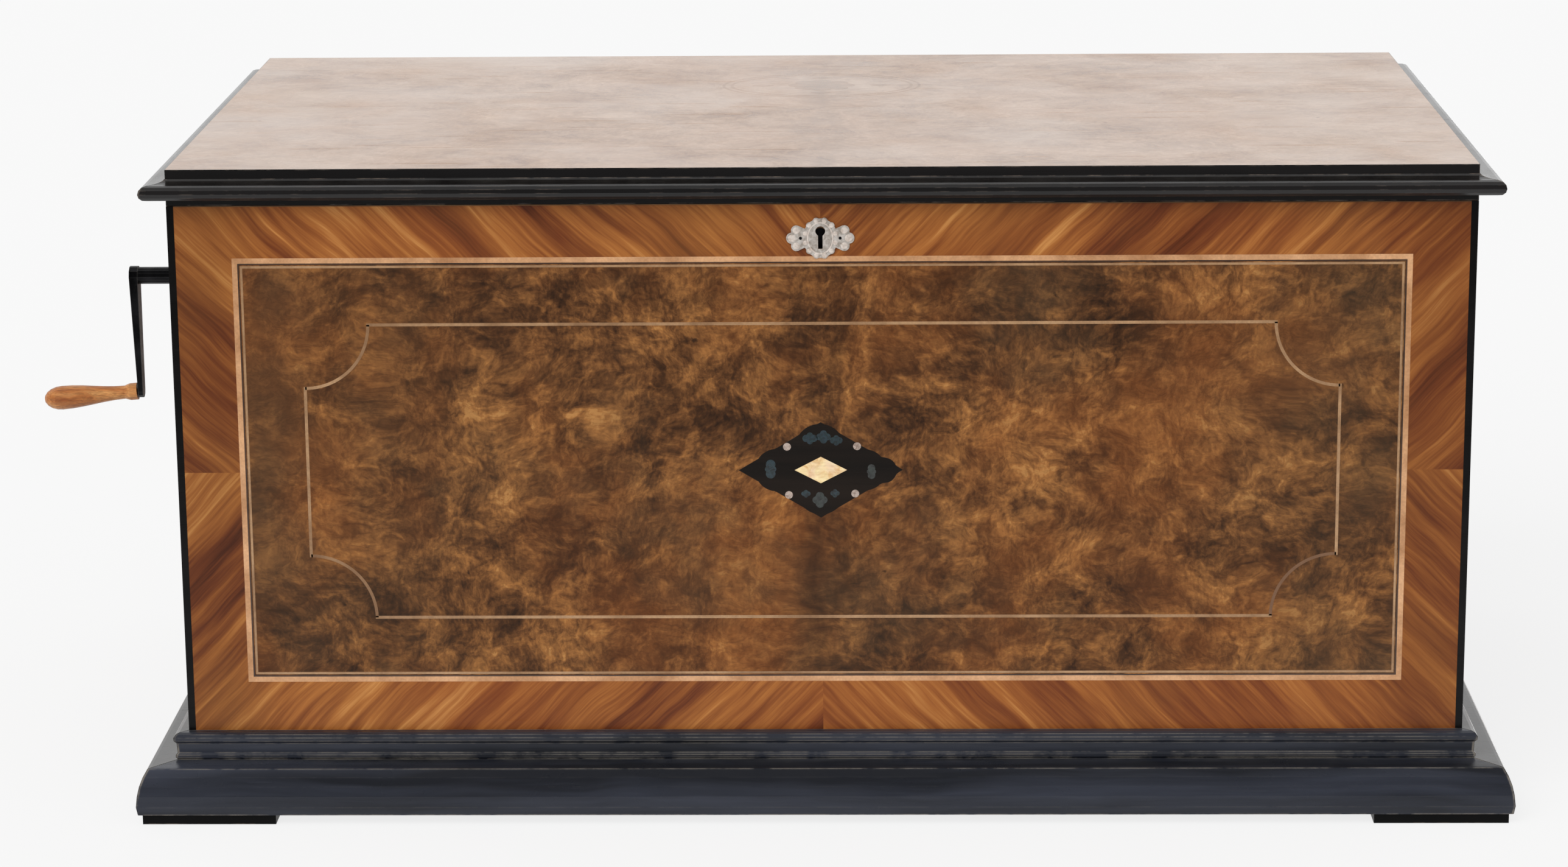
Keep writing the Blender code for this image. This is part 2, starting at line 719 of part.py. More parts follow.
def wheel_windows(radius, at_share, size_share, start_x, thickness, y, z):
    """Round windows through a wheel, with their place and size as shares of its radius."""
    windows = []
    for step in range(WHEEL_WINDOWS):
        angle = 2 * math.pi * step / WHEEL_WINDOWS
        reach = radius * at_share
        windows.append(bore_along_x(radius * size_share, start_x - SINK, thickness + 2 * SINK,
                                    y + reach * math.cos(angle), z + reach * math.sin(angle), ROUND_SMALL))
    return windows


# Nodes

def place(shape, name, collection, holder):
    shape.name = name
    shape.data.name = name
    collection.objects.link(shape)
    shape.parent = holder
    if holder is not CASE:
        shape.location = Vector(shape.location) - Vector(holder.location)


def node(name, material, shape, joins=(), cuts=(), holder=None):
    """Name one sub-part, with the shapes joined to it and cut from it."""
    place(shape, name, PARTS, holder or CASE)
    shape.data.materials.append(MATERIAL[material])
    steps = [("UNION", tool) for tool in joins] + [("DIFFERENCE", tool) for tool in cuts]
    for index, (operation, tool) in enumerate(steps):
        place(tool, f"{name}_tool_{index + 1}", CUTTERS, CASE)
        tool.hide_render = True
        tool.display_type = "WIRE"
        change = shape.modifiers.new(f"{operation.lower()}_{index + 1}", "BOOLEAN")
        change.operation = operation
        change.object = tool
        change.solver = "EXACT"
    return shape


def pivot(name, location):
    """Empty on a joint's axis, which carries the pieces that turn about it."""
    empty = bpy.data.objects.new(name, None)
    empty.location = location
    empty.parent = CASE
    PARTS.objects.link(empty)
    return empty


# Case, plinth and lid

def plinth_profile():
    """Plinth section as (overhang, height): two beads, a shoulder and a swelling face."""
    upper_bead = arc(UPPER_BEAD_OUT, PLINTH_TOP - UPPER_BEAD_RADIUS, UPPER_BEAD_RADIUS, 90, -60, 4)
    lower_bead = arc(LOWER_BEAD_OUT, PLINTH_TOP - LOWER_BEAD_DROP, LOWER_BEAD_RADIUS, 60, -60, 3)
    shoulder_z = PLINTH_TOP - SHOULDER_DROP
    shoulder = (PLINTH_OVERHANG - SHOULDER_INSET, shoulder_z)
    swell = (PLINTH_OVERHANG - SWELL_INSET, PLINTH_TOP - SWELL_DROP)
    face = bezier(shoulder, swell, (PLINTH_OVERHANG, PLINTH_BASE + NOSE_RISE), 4)
    ease = (shoulder[0] - SHOULDER_ROUND, shoulder_z + GAP)
    toe = (PLINTH_OVERHANG - TOE_INSET, PLINTH_BASE)
    return [(GAP, PLINTH_TOP)] + upper_bead + lower_bead + [ease] + face + [toe, (GAP, PLINTH_BASE)]


def lid_profile():
    """Lid moulding section: a shallow hollow that runs out into a round nose."""
    nose_z = RIM_Z + LID_NOSE_RISE
    nose_top = nose_z + LID_NOSE_RADIUS
    hollow = bezier((GAP, LID_TOP - MOULDING_DROP), (HOLLOW_OUT, nose_top), (LID_NOSE_OUT, nose_top), 4)
    nose = arc(LID_NOSE_OUT, nose_z, LID_NOSE_RADIUS, 60, -90, 5)
    return hollow + nose + [(GAP, nose_z - LID_NOSE_RADIUS)]


def moulding(profile, side):
    """Moulding length on the front or on one end, mitred at the front corners."""
    build = bmesh.new()
    rings = []
    for end in (-1, 1):
        ring = []
        for overhang, height in profile:
            if side == "front":
                spot = (end * (HALF_WIDTH + overhang - GAP), -HALF_DEPTH - overhang, height)
            else:
                sign = -1 if side == "left" else 1
                along = -HALF_DEPTH - overhang + GAP if end < 0 else HALF_DEPTH
                spot = (sign * (HALF_WIDTH + overhang), along, height)
            ring.append(build.verts.new(spot))
        edges = [build.edges.new((ring[i], ring[(i + 1) % len(ring)])) for i in range(len(ring))]
        build.faces.new(ring)
        rings.append(edges)
    bmesh.ops.bridge_loops(build, edges=rings[0] + rings[1])
    return mesh_object(build)


def keyhole(start_y, length):
    """Keyhole-shaped bar through the front: a round hole over a slot."""
    foot = KEYHOLE_Z - KEYHOLE_LENGTH
    half = KEYHOLE_SLOT / 2
    opening = math.degrees(math.asin(half / KEYHOLE_RADIUS))
    head = arc(0.0, KEYHOLE_Z, KEYHOLE_RADIUS, opening - 90, 270 - opening, KEYHOLE_FACETS)
    return outline([head + [(-half, foot), (half, foot)]], length, (0.0, start_y + length, 0.0), UPRIGHT)


def build_case():
    pocket = box((-LOCK_HALF_WIDTH - GAP, LOCK_FRONT - GAP, RIM_Z - GAP - LOCK_HEIGHT - GAP),
                 (LOCK_HALF_WIDTH + GAP, -INSIDE_Y + WALL / 2, RIM_Z + WALL))
    front = box((-HALF_WIDTH, -HALF_DEPTH, PLINTH_BASE), (HALF_WIDTH, -INSIDE_Y, RIM_Z))
    node("case_front", "walnut", front, cuts=[pocket, keyhole(-HALF_DEPTH - WALL, 2 * WALL)])
    back = box((-HALF_WIDTH, INSIDE_Y, PLINTH_BASE), (HALF_WIDTH, HALF_DEPTH, RIM_Z))
    node("case_back", "case_wood", back)
    left = box((-HALF_WIDTH, -INSIDE_Y + GAP, PLINTH_BASE), (-INSIDE_X, INSIDE_Y - GAP, RIM_Z))
    crank_hole = rod(BUSH_RADIUS + GAP, (-HALF_WIDTH - WALL, CRANK_Y, CRANK_Z), 3 * WALL, ACROSS, ROUND)
    pin_hole = rod(GLASS_PIN_RADIUS + RUNNING, (-INSIDE_X - GLASS_PIN_LENGTH - GAP, GLASS_PIN_Y, GLASS_PIN_Z),
                   2 * GLASS_PIN_LENGTH, ACROSS)
    node("case_left_end", "walnut", left, cuts=[crank_hole, pin_hole])
    right = box((INSIDE_X, -INSIDE_Y + GAP, PLINTH_BASE), (HALF_WIDTH, INSIDE_Y - GAP, RIM_Z))
    node("case_right_end", "walnut", right)
    floor = box((-INSIDE_X + GAP, -INSIDE_Y + GAP, BOTTOM_Z), (INSIDE_X - GAP, INSIDE_Y - GAP, BOTTOM_TOP))
    node("bottom_board", "case_wood", floor)
    for side in ("front", "left", "right"):
        node(f"plinth_{side}", "ebonised", moulding(plinth_profile(), side))
    reach_x = HALF_WIDTH + PLINTH_OVERHANG - FOOT_INSET
    reach_front = -HALF_DEPTH - PLINTH_OVERHANG + FOOT_INSET
    for name, side in (("left", -1), ("right", 1)):
        low_x = min(side * reach_x, side * (reach_x - FOOT_SIZE))
        for end, low_y in (("front", reach_front), ("back", HALF_DEPTH - GAP - FOOT_SIZE)):
            foot = box((low_x, low_y, 0.0), (low_x + FOOT_SIZE, low_y + FOOT_SIZE, PLINTH_BASE - GAP))
            node(f"foot_{end}_{name}", "ebonised", foot)


def build_lid(hinge):
    underside = RIM_Z + GAP
    panel = box((-HALF_WIDTH, -HALF_DEPTH, underside), (HALF_WIDTH, HALF_DEPTH, LID_TOP))
    inner_x = HALF_WIDTH - LID_WALL
    inner_y = HALF_DEPTH - LID_WALL
    hollow = box((-inner_x, -inner_y, underside - WALL), (inner_x, inner_y, underside + LID_RECESS))
    recess_x = HOOK_X + HASP_END + GAP
    recess = box((-recess_x, LOCK_MIDDLE - HASP_WIDTH / 2 - GAP, underside - WALL),
                 (recess_x, LOCK_MIDDLE + WALL, RIM_Z + HASP_PLATE + GAP))
    node("lid_panel", "lid_wood", panel, cuts=[hollow, recess], holder=hinge)
    for side in ("front", "left", "right"):
        node(f"lid_moulding_{side}", "ebonised", moulding(lid_profile(), side), holder=hinge)
    for name, side in (("left", -1), ("right", 1)):
        build_hinge(name, side * HINGE_X, hinge)


def build_hinge(name, centre_x, hinge):
    """Butt hinge on the back: two leaves with alternate knuckles on one pin."""
    start = centre_x - HINGE_LENGTH / 2
    step = HINGE_LENGTH / KNUCKLES
    face = HALF_DEPTH + GAP
    reach = KNUCKLE_RADIUS + GAP
    for owner, side, height in (("case", -1, CASE_LEAF_HEIGHT), ("lid", 1, LID_LEAF_HEIGHT)):
        edges = sorted((RIM_Z + side * reach, RIM_Z + side * (reach + height)))
        leaf = box((start, face, edges[0]), (start + HINGE_LENGTH, face + HINGE_LEAF, edges[1]))
        web = sorted((RIM_Z, RIM_Z + side * (reach + SINK)))
        joins = []
        for index in range(0 if owner == "case" else 1, KNUCKLES, 2):
            left = start + index * step + GAP / 2
            joins.append(rod(KNUCKLE_RADIUS, (left, HINGE_Y, RIM_Z), step - GAP, ACROSS, ROUND_LEAST))
            joins.append(box((left + GAP, face + GAP / 2, web[0]),
                             (left + step - 2 * GAP, face + HINGE_LEAF - GAP / 2, web[1])))
        cuts = []
        if owner == "case":
            joins.append(rod(PIN_RADIUS, (start + GAP, HINGE_Y, RIM_Z), HINGE_LENGTH - 2 * GAP, ACROSS,
                             ROUND_LEAST))
        else:
            cuts.append(rod(PIN_RADIUS + RUNNING, (start - GAP, HINGE_Y, RIM_Z), HINGE_LENGTH + 2 * GAP,
                            ACROSS, ROUND_LEAST))
        holder = None if owner == "case" else hinge
        node(f"hinge_{owner}_leaf_{name}", "brass", leaf, joins=joins, cuts=cuts, holder=holder)


def escutcheon_outline():
    """Oval with lobed wings on either side, drawn from a rule of angle."""
    points = []
    for step in range(ESCUTCHEON_POINTS):
        angle = 2 * math.pi * step / ESCUTCHEON_POINTS
        wave = (1.0 + LOBE_SHARE * math.cos(LOBES * angle)) / (1.0 + LOBE_SHARE)
        pinch = 1.0 - PINCH_SHARE * math.exp(-((abs(math.cos(angle)) - PINCH_AT) / PINCH_SPREAD) ** 2)
        across = ESCUTCHEON_HALF_WIDTH * math.cos(angle) * wave
        up = ESCUTCHEON_HALF_HEIGHT * math.sin(angle) * wave * pinch
        points.append((across, RIM_Z - ESCUTCHEON_DROP + up))
    return points


def build_escutcheon():
    plate = outline([escutcheon_outline()], ESCUTCHEON, (0.0, -HALF_DEPTH - GAP, 0.0), UPRIGHT)
    node("escutcheon", "nickel", plate, cuts=[keyhole(-HALF_DEPTH - WALL, 2 * WALL)])


def build_lock(hinge):
    lock_top = RIM_Z - GAP
    hook_z = RIM_Z - HOOK_DROP
    chamber_z = hook_z - BOLT_DEPTH
    chamber_half = BOLT_THICKNESS / 2 + GAP + GAP
    body = box((-LOCK_HALF_WIDTH, LOCK_FRONT, lock_top - LOCK_HEIGHT),
               (LOCK_HALF_WIDTH, -INSIDE_Y, lock_top))
    chamber_x = LOCK_HALF_WIDTH - LOCK_SIDE
    chamber = box((-chamber_x, LOCK_MIDDLE - chamber_half, chamber_z),
                  (chamber_x, LOCK_MIDDLE + chamber_half, lock_top - LOCK_TOP_PLATE))
    half_slot = HOOK_WIDTH / 2 + LOCK_CLEARANCE
    slots = []
    for side in (-1, 1):
        middle = side * HOOK_X
        slots.append(box((middle - half_slot, LOCK_MIDDLE - chamber_half, lock_top - 2 * LOCK_TOP_PLATE),
                         (middle + half_slot, LOCK_MIDDLE + chamber_half, lock_top + WALL)))
    key_way = keyhole(LOCK_FRONT - SINK, SINK + KEY_WAY)
    node("lock_body", "brass", body, cuts=[chamber] + slots + [key_way])

    # The bolt is a bar below the hooks, with two fingers that stand clear of their windows
    finger_z = hook_z + FINGER_RISE
    front_y = LOCK_MIDDLE - BOLT_THICKNESS / 2
    back_y = LOCK_MIDDLE + BOLT_THICKNESS / 2
    clear = BOLT_TRAVEL + GAP
    hook_edge = HOOK_X + HOOK_WIDTH / 2
    bar = box((-hook_edge - clear - FINGER_WIDTH - GAP, front_y, chamber_z + GAP),
              (hook_edge + BAR_END, back_y, hook_z - BAR_DROP))
    fingers = []
    finger_top = finger_z + FINGER_HEIGHT
    for side in (-1, 1):
        edge = side * HOOK_X - HOOK_WIDTH / 2 - clear
        fingers.append(box((edge - FINGER_WIDTH, front_y, chamber_z + SINK), (edge, back_y, finger_top)))
        fingers.append(box((edge - SINK, front_y, finger_z), (edge + FINGER_REACH, back_y, finger_top)))
    node("lock_bolt", "brass", bar, joins=fingers)

    plate_x = HOOK_X + HASP_END
    plate = box((-plate_x, LOCK_MIDDLE - HASP_WIDTH / 2, RIM_Z + 2 * GAP),
                (plate_x, LOCK_MIDDLE + HASP_WIDTH / 2, RIM_Z + HASP_PLATE))
    hooks = []
    windows = []
    for side in (-1, 1):
        low_x = side * HOOK_X - HOOK_WIDTH / 2
        hooks.append(box((low_x, LOCK_MIDDLE - HOOK_THICKNESS / 2, hook_z),
                         (low_x + HOOK_WIDTH, LOCK_MIDDLE + HOOK_THICKNESS / 2, RIM_Z + SINK)))
        windows.append(box((low_x - SINK, LOCK_MIDDLE - HOOK_THICKNESS, finger_z - WINDOW_MARGIN),
                           (low_x + HOOK_WIDTH - WINDOW_SIDE, LOCK_MIDDLE + HOOK_THICKNESS,
                            finger_top + WINDOW_MARGIN)))
    node("lid_hasp", "brass", plate, joins=hooks, cuts=windows, holder=hinge)


# Glass inner lid and controls

def build_glass_lid():
    hinge = pivot("glass_hinge", (0.0, GLASS_PIN_Y, GLASS_PIN_Z))
    left = -INSIDE_X + GLASS_SIDE_GAP
    right = PARTITION_X - GLASS_SIDE_GAP
    front = -INSIDE_Y + GLASS_FRONT_GAP
    frame = box((left, front, GLASS_Z), (right, GLASS_BACK, GLASS_TOP), bevel=GLASS_EASE)
    light = box((left + GLASS_RAIL, front + GLASS_RAIL, GLASS_Z - WALL),
                (right - GLASS_RAIL, GLASS_BACK - GLASS_RAIL, GLASS_TOP + WALL))
    inner = GLASS_RAIL - PANE_REBATE
    pane_z = GLASS_TOP - PANE_DEPTH - PANE
    rebate = box((left + inner, front + inner, pane_z),
                 (right - inner, GLASS_BACK - inner, GLASS_TOP + WALL))
    pins = []
    for side_x in (left, right):
        pins.append(rod(GLASS_PIN_RADIUS, (side_x - GLASS_PIN_LENGTH, GLASS_PIN_Y, GLASS_PIN_Z),
                        2 * GLASS_PIN_LENGTH, ACROSS))
    node("glass_frame", "ebonised", frame, joins=pins, cuts=[light, rebate], holder=hinge)
    seat = inner + GAP
    pane = box((left + seat, front + seat, pane_z + GAP),
               (right - seat, GLASS_BACK - seat, pane_z + GAP + PANE))
    node("glass_pane", "glass", pane, holder=hinge)


def build_controls():
    board = box((PARTITION_X, -INSIDE_Y + GAP, BOTTOM_TOP + GAP),
                (PARTITION_X + PARTITION, INSIDE_Y - GAP, RIM_Z - PARTITION_DROP))
    pin_hole = rod(GLASS_PIN_RADIUS + RUNNING, (PARTITION_X - PARTITION, GLASS_PIN_Y, GLASS_PIN_Z),
                   3 * PARTITION, ACROSS)
    node("partition_right", "case_wood", board, cuts=[pin_hole])
    left = PARTITION_X + PARTITION + GAP
    right = INSIDE_X - GAP
    middle = (left + right) / 2
    half = LEVER_PLATE_LENGTH / 2
    plate = box((left, LEVER_PIVOT_Y - half, LEVER_TOP - LEVER_PLATE),
                (right, LEVER_PIVOT_Y + half, LEVER_TOP), bevel=LEVER_PLATE_EASE)
    stud = rod(LEVER_STUD, (middle, LEVER_PIVOT_Y, LEVER_TOP - SINK), SINK + LEVER_STUD_HEIGHT)
    node("lever_plate", "brass", plate, joins=[stud])
    seat = LEVER_TOP + GAP
    lever = hull([(0.0, 0.0, LEVER_BOSS), (0.0, -LEVER_LENGTH, LEVER_TIP)], LEVER_THICKNESS,
                 (middle, LEVER_PIVOT_Y, seat))
    knob_profile = [(share * KNOB_RADIUS, height * KNOB_HEIGHT)
                    for share, height in ((0.0, 1.0), (0.62, 0.96), (1.0, 0.79), (0.67, 0.58))]
    knob_profile += [(KNOB_NECK, LEVER_THICKNESS + SINK), (LEVER_TIP - SINK, SINK), (0.0, SINK)]
    knob = turned(knob_profile, (middle, LEVER_PIVOT_Y - LEVER_LENGTH, seat), facets=ROUND_SMALL)
    bore = rod(LEVER_STUD + RUNNING, (middle, LEVER_PIVOT_Y, seat - SINK), LEVER_THICKNESS + 2 * SINK)
    node("play_lever", "steel", lever, joins=[knob], cuts=[bore])


# Crank

def grip_profile(length):
    """Turned grip, from its rounded outer end back to the ferrule at the arm."""
    bulb_at = length - BULB_LENGTH
    points = [(0.0, length)]
    for step in range(1, BULB_STEPS + 1):
        angle = math.pi / 2 * (1 - step / BULB_STEPS)
        points.append((GRIP_BULB * math.cos(angle), bulb_at + BULB_LENGTH * math.sin(angle)))
    for step in range(1, NECK_STEPS + 1):
        share = step / NECK_STEPS
        swell = (1 + math.cos(math.pi * share)) / 2
        radius = GRIP_NECK + (GRIP_BULB - GRIP_NECK) * swell
        points.append((radius, bulb_at - (bulb_at - NECK_FROM_END) * share))
    points.append((FERRULE_NECK, FERRULE_LENGTH + FERRULE_STEP))
    return points + [(FERRULE_RADIUS, FERRULE_LENGTH), (FERRULE_RADIUS, 0.0), (0.0, 0.0)]


def build_crank():
    inner_face = -HALF_WIDTH - CRANK_STANDOFF
    outer_face = inner_face - ARM_THICKNESS
    shaft_end = BARREL_BRACKET_X + BRACKET
    taper = ARM_THICKNESS - ARM_TIP_THICKNESS
    arm = hull([(0.0, 0.0, ARM_BOSS), (0.0, -CRANK_RADIUS, ARM_TIP, taper, ARM_THICKNESS)], ARM_THICKNESS,
               (outer_face, CRANK_Y, CRANK_Z), ACROSS)
    shaft_start = outer_face + SINK
    shaft = rod(SHAFT_RADIUS, (shaft_start, CRANK_Y, CRANK_Z), shaft_end - shaft_start, ACROSS, ROUND)
    phase = bearing_angle(CRANK_Y, CRANK_Z, BARREL_Y, BARREL_Z) + math.pi / CRANK_PINION_TEETH
    pinion = outline([gear_outline(CRANK_PINION_TEETH, CRANK_PINION_RADIUS, phase)],
                     WINDING_WHEEL + 2 * CRANK_PINION_SIDE,
                     (WINDING_WHEEL_X - CRANK_PINION_SIDE, CRANK_Y, CRANK_Z), ACROSS)

    # The grip and its pin share one axis, which starts inside the arm's tip and droops outwards
    root = Vector((inner_face, CRANK_Y, CRANK_Z - CRANK_RADIUS))
    along = Vector((-math.cos(GRIP_DROOP), 0.0, -math.sin(GRIP_DROOP)))
    tilt = (0.0, -math.pi / 2 - GRIP_DROOP, 0.0)
    pin = rod(GRIP_PIN, root + along * SINK, GRIP_LENGTH * GRIP_PIN_SHARE, tilt)
    node("crank_arm", "dark_steel", arm, joins=[shaft, pinion, pin])
    lean = ARM_TIP * math.tan(GRIP_DROOP) + GAP
    start = root + along * (ARM_TIP_THICKNESS / math.cos(GRIP_DROOP) + lean)
    grip = turned(grip_profile(GRIP_LENGTH - lean), start, tilt, GRIP_FACETS)
    bore = rod(GRIP_PIN + RUNNING, start - along * SINK, GRIP_LENGTH * GRIP_BORE_SHARE, tilt)
    node("crank_grip", "beech", grip, cuts=[bore])
    inner = SHAFT_RADIUS + RUNNING
    bush = turned_ring([(BUSH_RADIUS, WALL), (BUSH_RADIUS, 0.0), (BUSH_FLANGE, 0.0),
                        (BUSH_FLANGE, -FLANGE_THICKNESS), (inner, -FLANGE_THICKNESS), (inner, WALL)],
                       (-HALF_WIDTH - GAP, CRANK_Y, CRANK_Z), ACROSS)
    node("crank_bush", "brass", bush)


# Bedplate, brackets and wheels

def cheek(name, start_x, bosses, front_y, back_y, cuts, joins=()):
    """Bracket plate that rises from the bedplate to its bearing bosses."""
    corner_z = SEAT_Z + BRACKET_FOOT / 2
    circles = list(bosses) + [(front_y, corner_z, BRACKET_CORNER), (back_y, corner_z, BRACKET_CORNER)]
    plate = hull(circles, BRACKET, (start_x, 0.0, 0.0), ACROSS)
    foot = box((start_x - BRACKET_FOOT_REACH, front_y - 2 * BRACKET_CORNER, SEAT_Z),
               (start_x + BRACKET + BRACKET_FOOT_REACH, back_y + 2 * BRACKET_CORNER, SEAT_Z + BRACKET_FOOT))
    holes = [bore_along_x(radius, start_x - BRACKET, 3 * BRACKET, y, z) for radius, y, z in cuts]
    node(name, "brass", plate, joins=[foot] + list(joins), cuts=holes)


def click_pivot():
    reach = RATCHET_RADIUS + CLICK_CLEARANCE
    tip_y = BARREL_Y + reach * math.cos(CLICK_ANGLE)
    tip_z = BARREL_Z + reach * math.sin(CLICK_ANGLE)
    return tip_y + CLICK_LENGTH, tip_z + CLICK_RISE


def build_bed():
    left = BARREL_BRACKET_X - BED_LEFT_MARGIN
    right = FRAME_RIGHT + BED_RIGHT_MARGIN
    plate = box((left, BED_FRONT, BED_Z), (right, BED_BACK, BED_TOP), bevel=BED_EASE)
    legs = []
    for x in (left + LEG_INSET_X, right - LEG_INSET_X - LEG):
        for y in (BED_FRONT + LEG_INSET_Y, BED_BACK - LEG_INSET_Y - LEG):
            legs.append(box((x, y, BOTTOM_TOP + GAP), (x + LEG, y + LEG, BED_Z + BED_THICKNESS / 2)))
    node("bedplate", "cast_iron", plate, joins=legs)
    stud_y, stud_z = click_pivot()
    stud_x = RATCHET_X - SINK
    stud = rod(CLICK_STUD, (stud_x, stud_y, stud_z), BARREL_BRACKET_X + 2 * SINK - stud_x, ACROSS)
    barrel_bore = (WINDING_ARBOR_RADIUS + RUNNING, BARREL_Y, BARREL_Z)
    cylinder_bore = (ARBOR_RADIUS + RUNNING, CYLINDER_Y, CYLINDER_Z)
    cheek("barrel_bracket", BARREL_BRACKET_X,
          [(BARREL_Y, BARREL_Z, BARREL_BOSS), (CRANK_Y, CRANK_Z, SHAFT_BOSS), (stud_y, stud_z, CLICK_BOSS)],
          CRANK_Y + BARREL_CHEEK_FRONT, BARREL_Y + BARREL_CHEEK_BACK,
          [barrel_bore, (SHAFT_RADIUS + RUNNING, CRANK_Y, CRANK_Z)], joins=[stud])
    cheek("centre_bracket", CENTRE_BRACKET_X,
          [(BARREL_Y, BARREL_Z, ARBOR_BOSS), (CYLINDER_Y, CYLINDER_Z, ARBOR_BOSS)],
          BARREL_Y - CENTRE_CHEEK_FRONT, CYLINDER_Y + CYLINDER_CHEEK_BACK, [barrel_bore, cylinder_bore])
    cheek("governor_bracket", GOVERNOR_BRACKET_X,
          [(CYLINDER_Y, CYLINDER_Z, ARBOR_BOSS), (GOVERNOR_Y, GOVERNOR_Z, GOVERNOR_BOSS)],
          GOVERNOR_Y - GOVERNOR_CHEEK_FRONT, CYLINDER_Y + CYLINDER_CHEEK_BACK,
          [cylinder_bore, (GOVERNOR_ARBOR_RADIUS + RUNNING, GOVERNOR_Y, GOVERNOR_Z)])


def build_winding():
    phase = bearing_angle(BARREL_Y, BARREL_Z, CRANK_Y, CRANK_Z)
    wheel = outline([gear_outline(WINDING_WHEEL_TEETH, WINDING_WHEEL_RADIUS, phase)], WINDING_WHEEL,
                    (WINDING_WHEEL_X, BARREL_Y, BARREL_Z), ACROSS)
    left = WINDING_WHEEL_X - WINDING_END
    right = CENTRE_BRACKET_X + BRACKET
    arbor = rod(WINDING_ARBOR_RADIUS, (left, BARREL_Y, BARREL_Z), right - left, ACROSS, ROUND)
    ratchet = outline([ratchet_outline()], RATCHET, (RATCHET_X, BARREL_Y, BARREL_Z), ACROSS)
    windows = wheel_windows(WINDING_WHEEL_RADIUS, WINDING_WINDOW_AT, WINDING_WINDOW, WINDING_WHEEL_X,
                            WINDING_WHEEL, BARREL_Y, BARREL_Z)
    node("winding_arbor", "brass", wheel, joins=[arbor, ratchet], cuts=windows)

    stud_y, stud_z = click_pivot()
    reach = RATCHET_RADIUS + CLICK_CLEARANCE
    tip_y = BARREL_Y + reach * math.cos(CLICK_ANGLE) - stud_y
    tip_z = BARREL_Z + reach * math.sin(CLICK_ANGLE) + CLICK_TIP - stud_z
    click = hull([(0.0, 0.0, CLICK_HUB), (tip_y, tip_z, CLICK_TIP)], RATCHET - 2 * CLICK_SIDE,
                 (RATCHET_X + CLICK_SIDE, stud_y, stud_z), ACROSS)
    bore = rod(CLICK_STUD + RUNNING, (RATCHET_X - SINK, stud_y, stud_z), RATCHET + 2 * SINK, ACROSS)
    node("click", "steel", click, cuts=[bore])

    phase = bearing_angle(BARREL_Y, BARREL_Z, CYLINDER_Y, CYLINDER_Z)
    inner = BARREL_RADIUS - BARREL_STEP
    drum = turned([(0.0, BARREL_LENGTH), (BARREL_RADIUS, BARREL_LENGTH), (BARREL_RADIUS, BARREL_STEP_LENGTH),
                   (inner, BARREL_STEP_LENGTH), (inner, 0.0), (0.0, 0.0)],
                  (BARREL_LEFT, BARREL_Y, BARREL_Z), ACROSS, ROUND_FINE)
    wheel = outline([gear_outline(GREAT_WHEEL_TEETH, GREAT_WHEEL_RADIUS, phase)], GREAT_WHEEL_THICKNESS,
                    (GREAT_WHEEL_X, BARREL_Y, BARREL_Z), ACROSS)
    hub_end = GREAT_WHEEL_X + GREAT_WHEEL_THICKNESS + SINK
    hub = rod(BARREL_RADIUS * GREAT_WHEEL_HUB, (BARREL_RIGHT - SINK, BARREL_Y, BARREL_Z),
              hub_end - BARREL_RIGHT + SINK, ACROSS, ROUND)
    bore = bore_along_x(WINDING_ARBOR_RADIUS + RUNNING, BARREL_LEFT - SINK, hub_end - BARREL_LEFT + 2 * SINK,
                        BARREL_Y, BARREL_Z)
    node("spring_barrel", "brass", drum, joins=[wheel, hub], cuts=[bore])


def build_cylinder():
    pinion_x = GREAT_WHEEL_X - PINION_SIDE
    left = pinion_x - ARBOR_END
    right = GOVERNOR_BRACKET_X + BRACKET + ARBOR_END
    phase = bearing_angle(CYLINDER_Y, CYLINDER_Z, BARREL_Y, BARREL_Z) + math.pi / CYLINDER_PINION_TEETH
    arbor = rod(ARBOR_RADIUS, (left, CYLINDER_Y, CYLINDER_Z), right - left, ACROSS, ROUND)
    pinion = outline([gear_outline(CYLINDER_PINION_TEETH, CYLINDER_PINION_RADIUS, phase)],
                     GREAT_WHEEL_THICKNESS + 2 * PINION_SIDE, (pinion_x, CYLINDER_Y, CYLINDER_Z), ACROSS)
    phase = bearing_angle(CYLINDER_Y, CYLINDER_Z, GOVERNOR_Y, GOVERNOR_Z)
    wheel = outline([gear_outline(CYLINDER_WHEEL_TEETH, CYLINDER_WHEEL_RADIUS, phase)], WHEEL_THICKNESS,
                    (CYLINDER_WHEEL_X, CYLINDER_Y, CYLINDER_Z), ACROSS)
    windows = wheel_windows(CYLINDER_WHEEL_RADIUS, CYLINDER_WINDOW_AT, CYLINDER_WINDOW, CYLINDER_WHEEL_X,
                            WHEEL_THICKNESS, CYLINDER_Y, CYLINDER_Z)
    node("cylinder_arbor", "steel", arbor, joins=[pinion, wheel], cuts=windows)
    bore = ARBOR_RADIUS + RUNNING
    edge = CYLINDER_RADIUS - CYLINDER_CHAMFER
    inner = CYLINDER_RADIUS - CYLINDER_WALL
    body = turned_ring([(edge, CYLINDER_LENGTH), (CYLINDER_RADIUS, CYLINDER_LENGTH - CYLINDER_CHAMFER),
                        (CYLINDER_RADIUS, CYLINDER_CHAMFER), (edge, 0.0), (bore, 0.0), (bore, CYLINDER_WALL),
                        (inner, CYLINDER_WALL), (inner, CYLINDER_LENGTH - CYLINDER_WALL),
                        (bore, CYLINDER_LENGTH - CYLINDER_WALL), (bore, CYLINDER_LENGTH)],
                       (CYLINDER_LEFT, CYLINDER_Y, CYLINDER_Z), ACROSS, ROUND_FINE)
    node("cylinder", "brass", body)


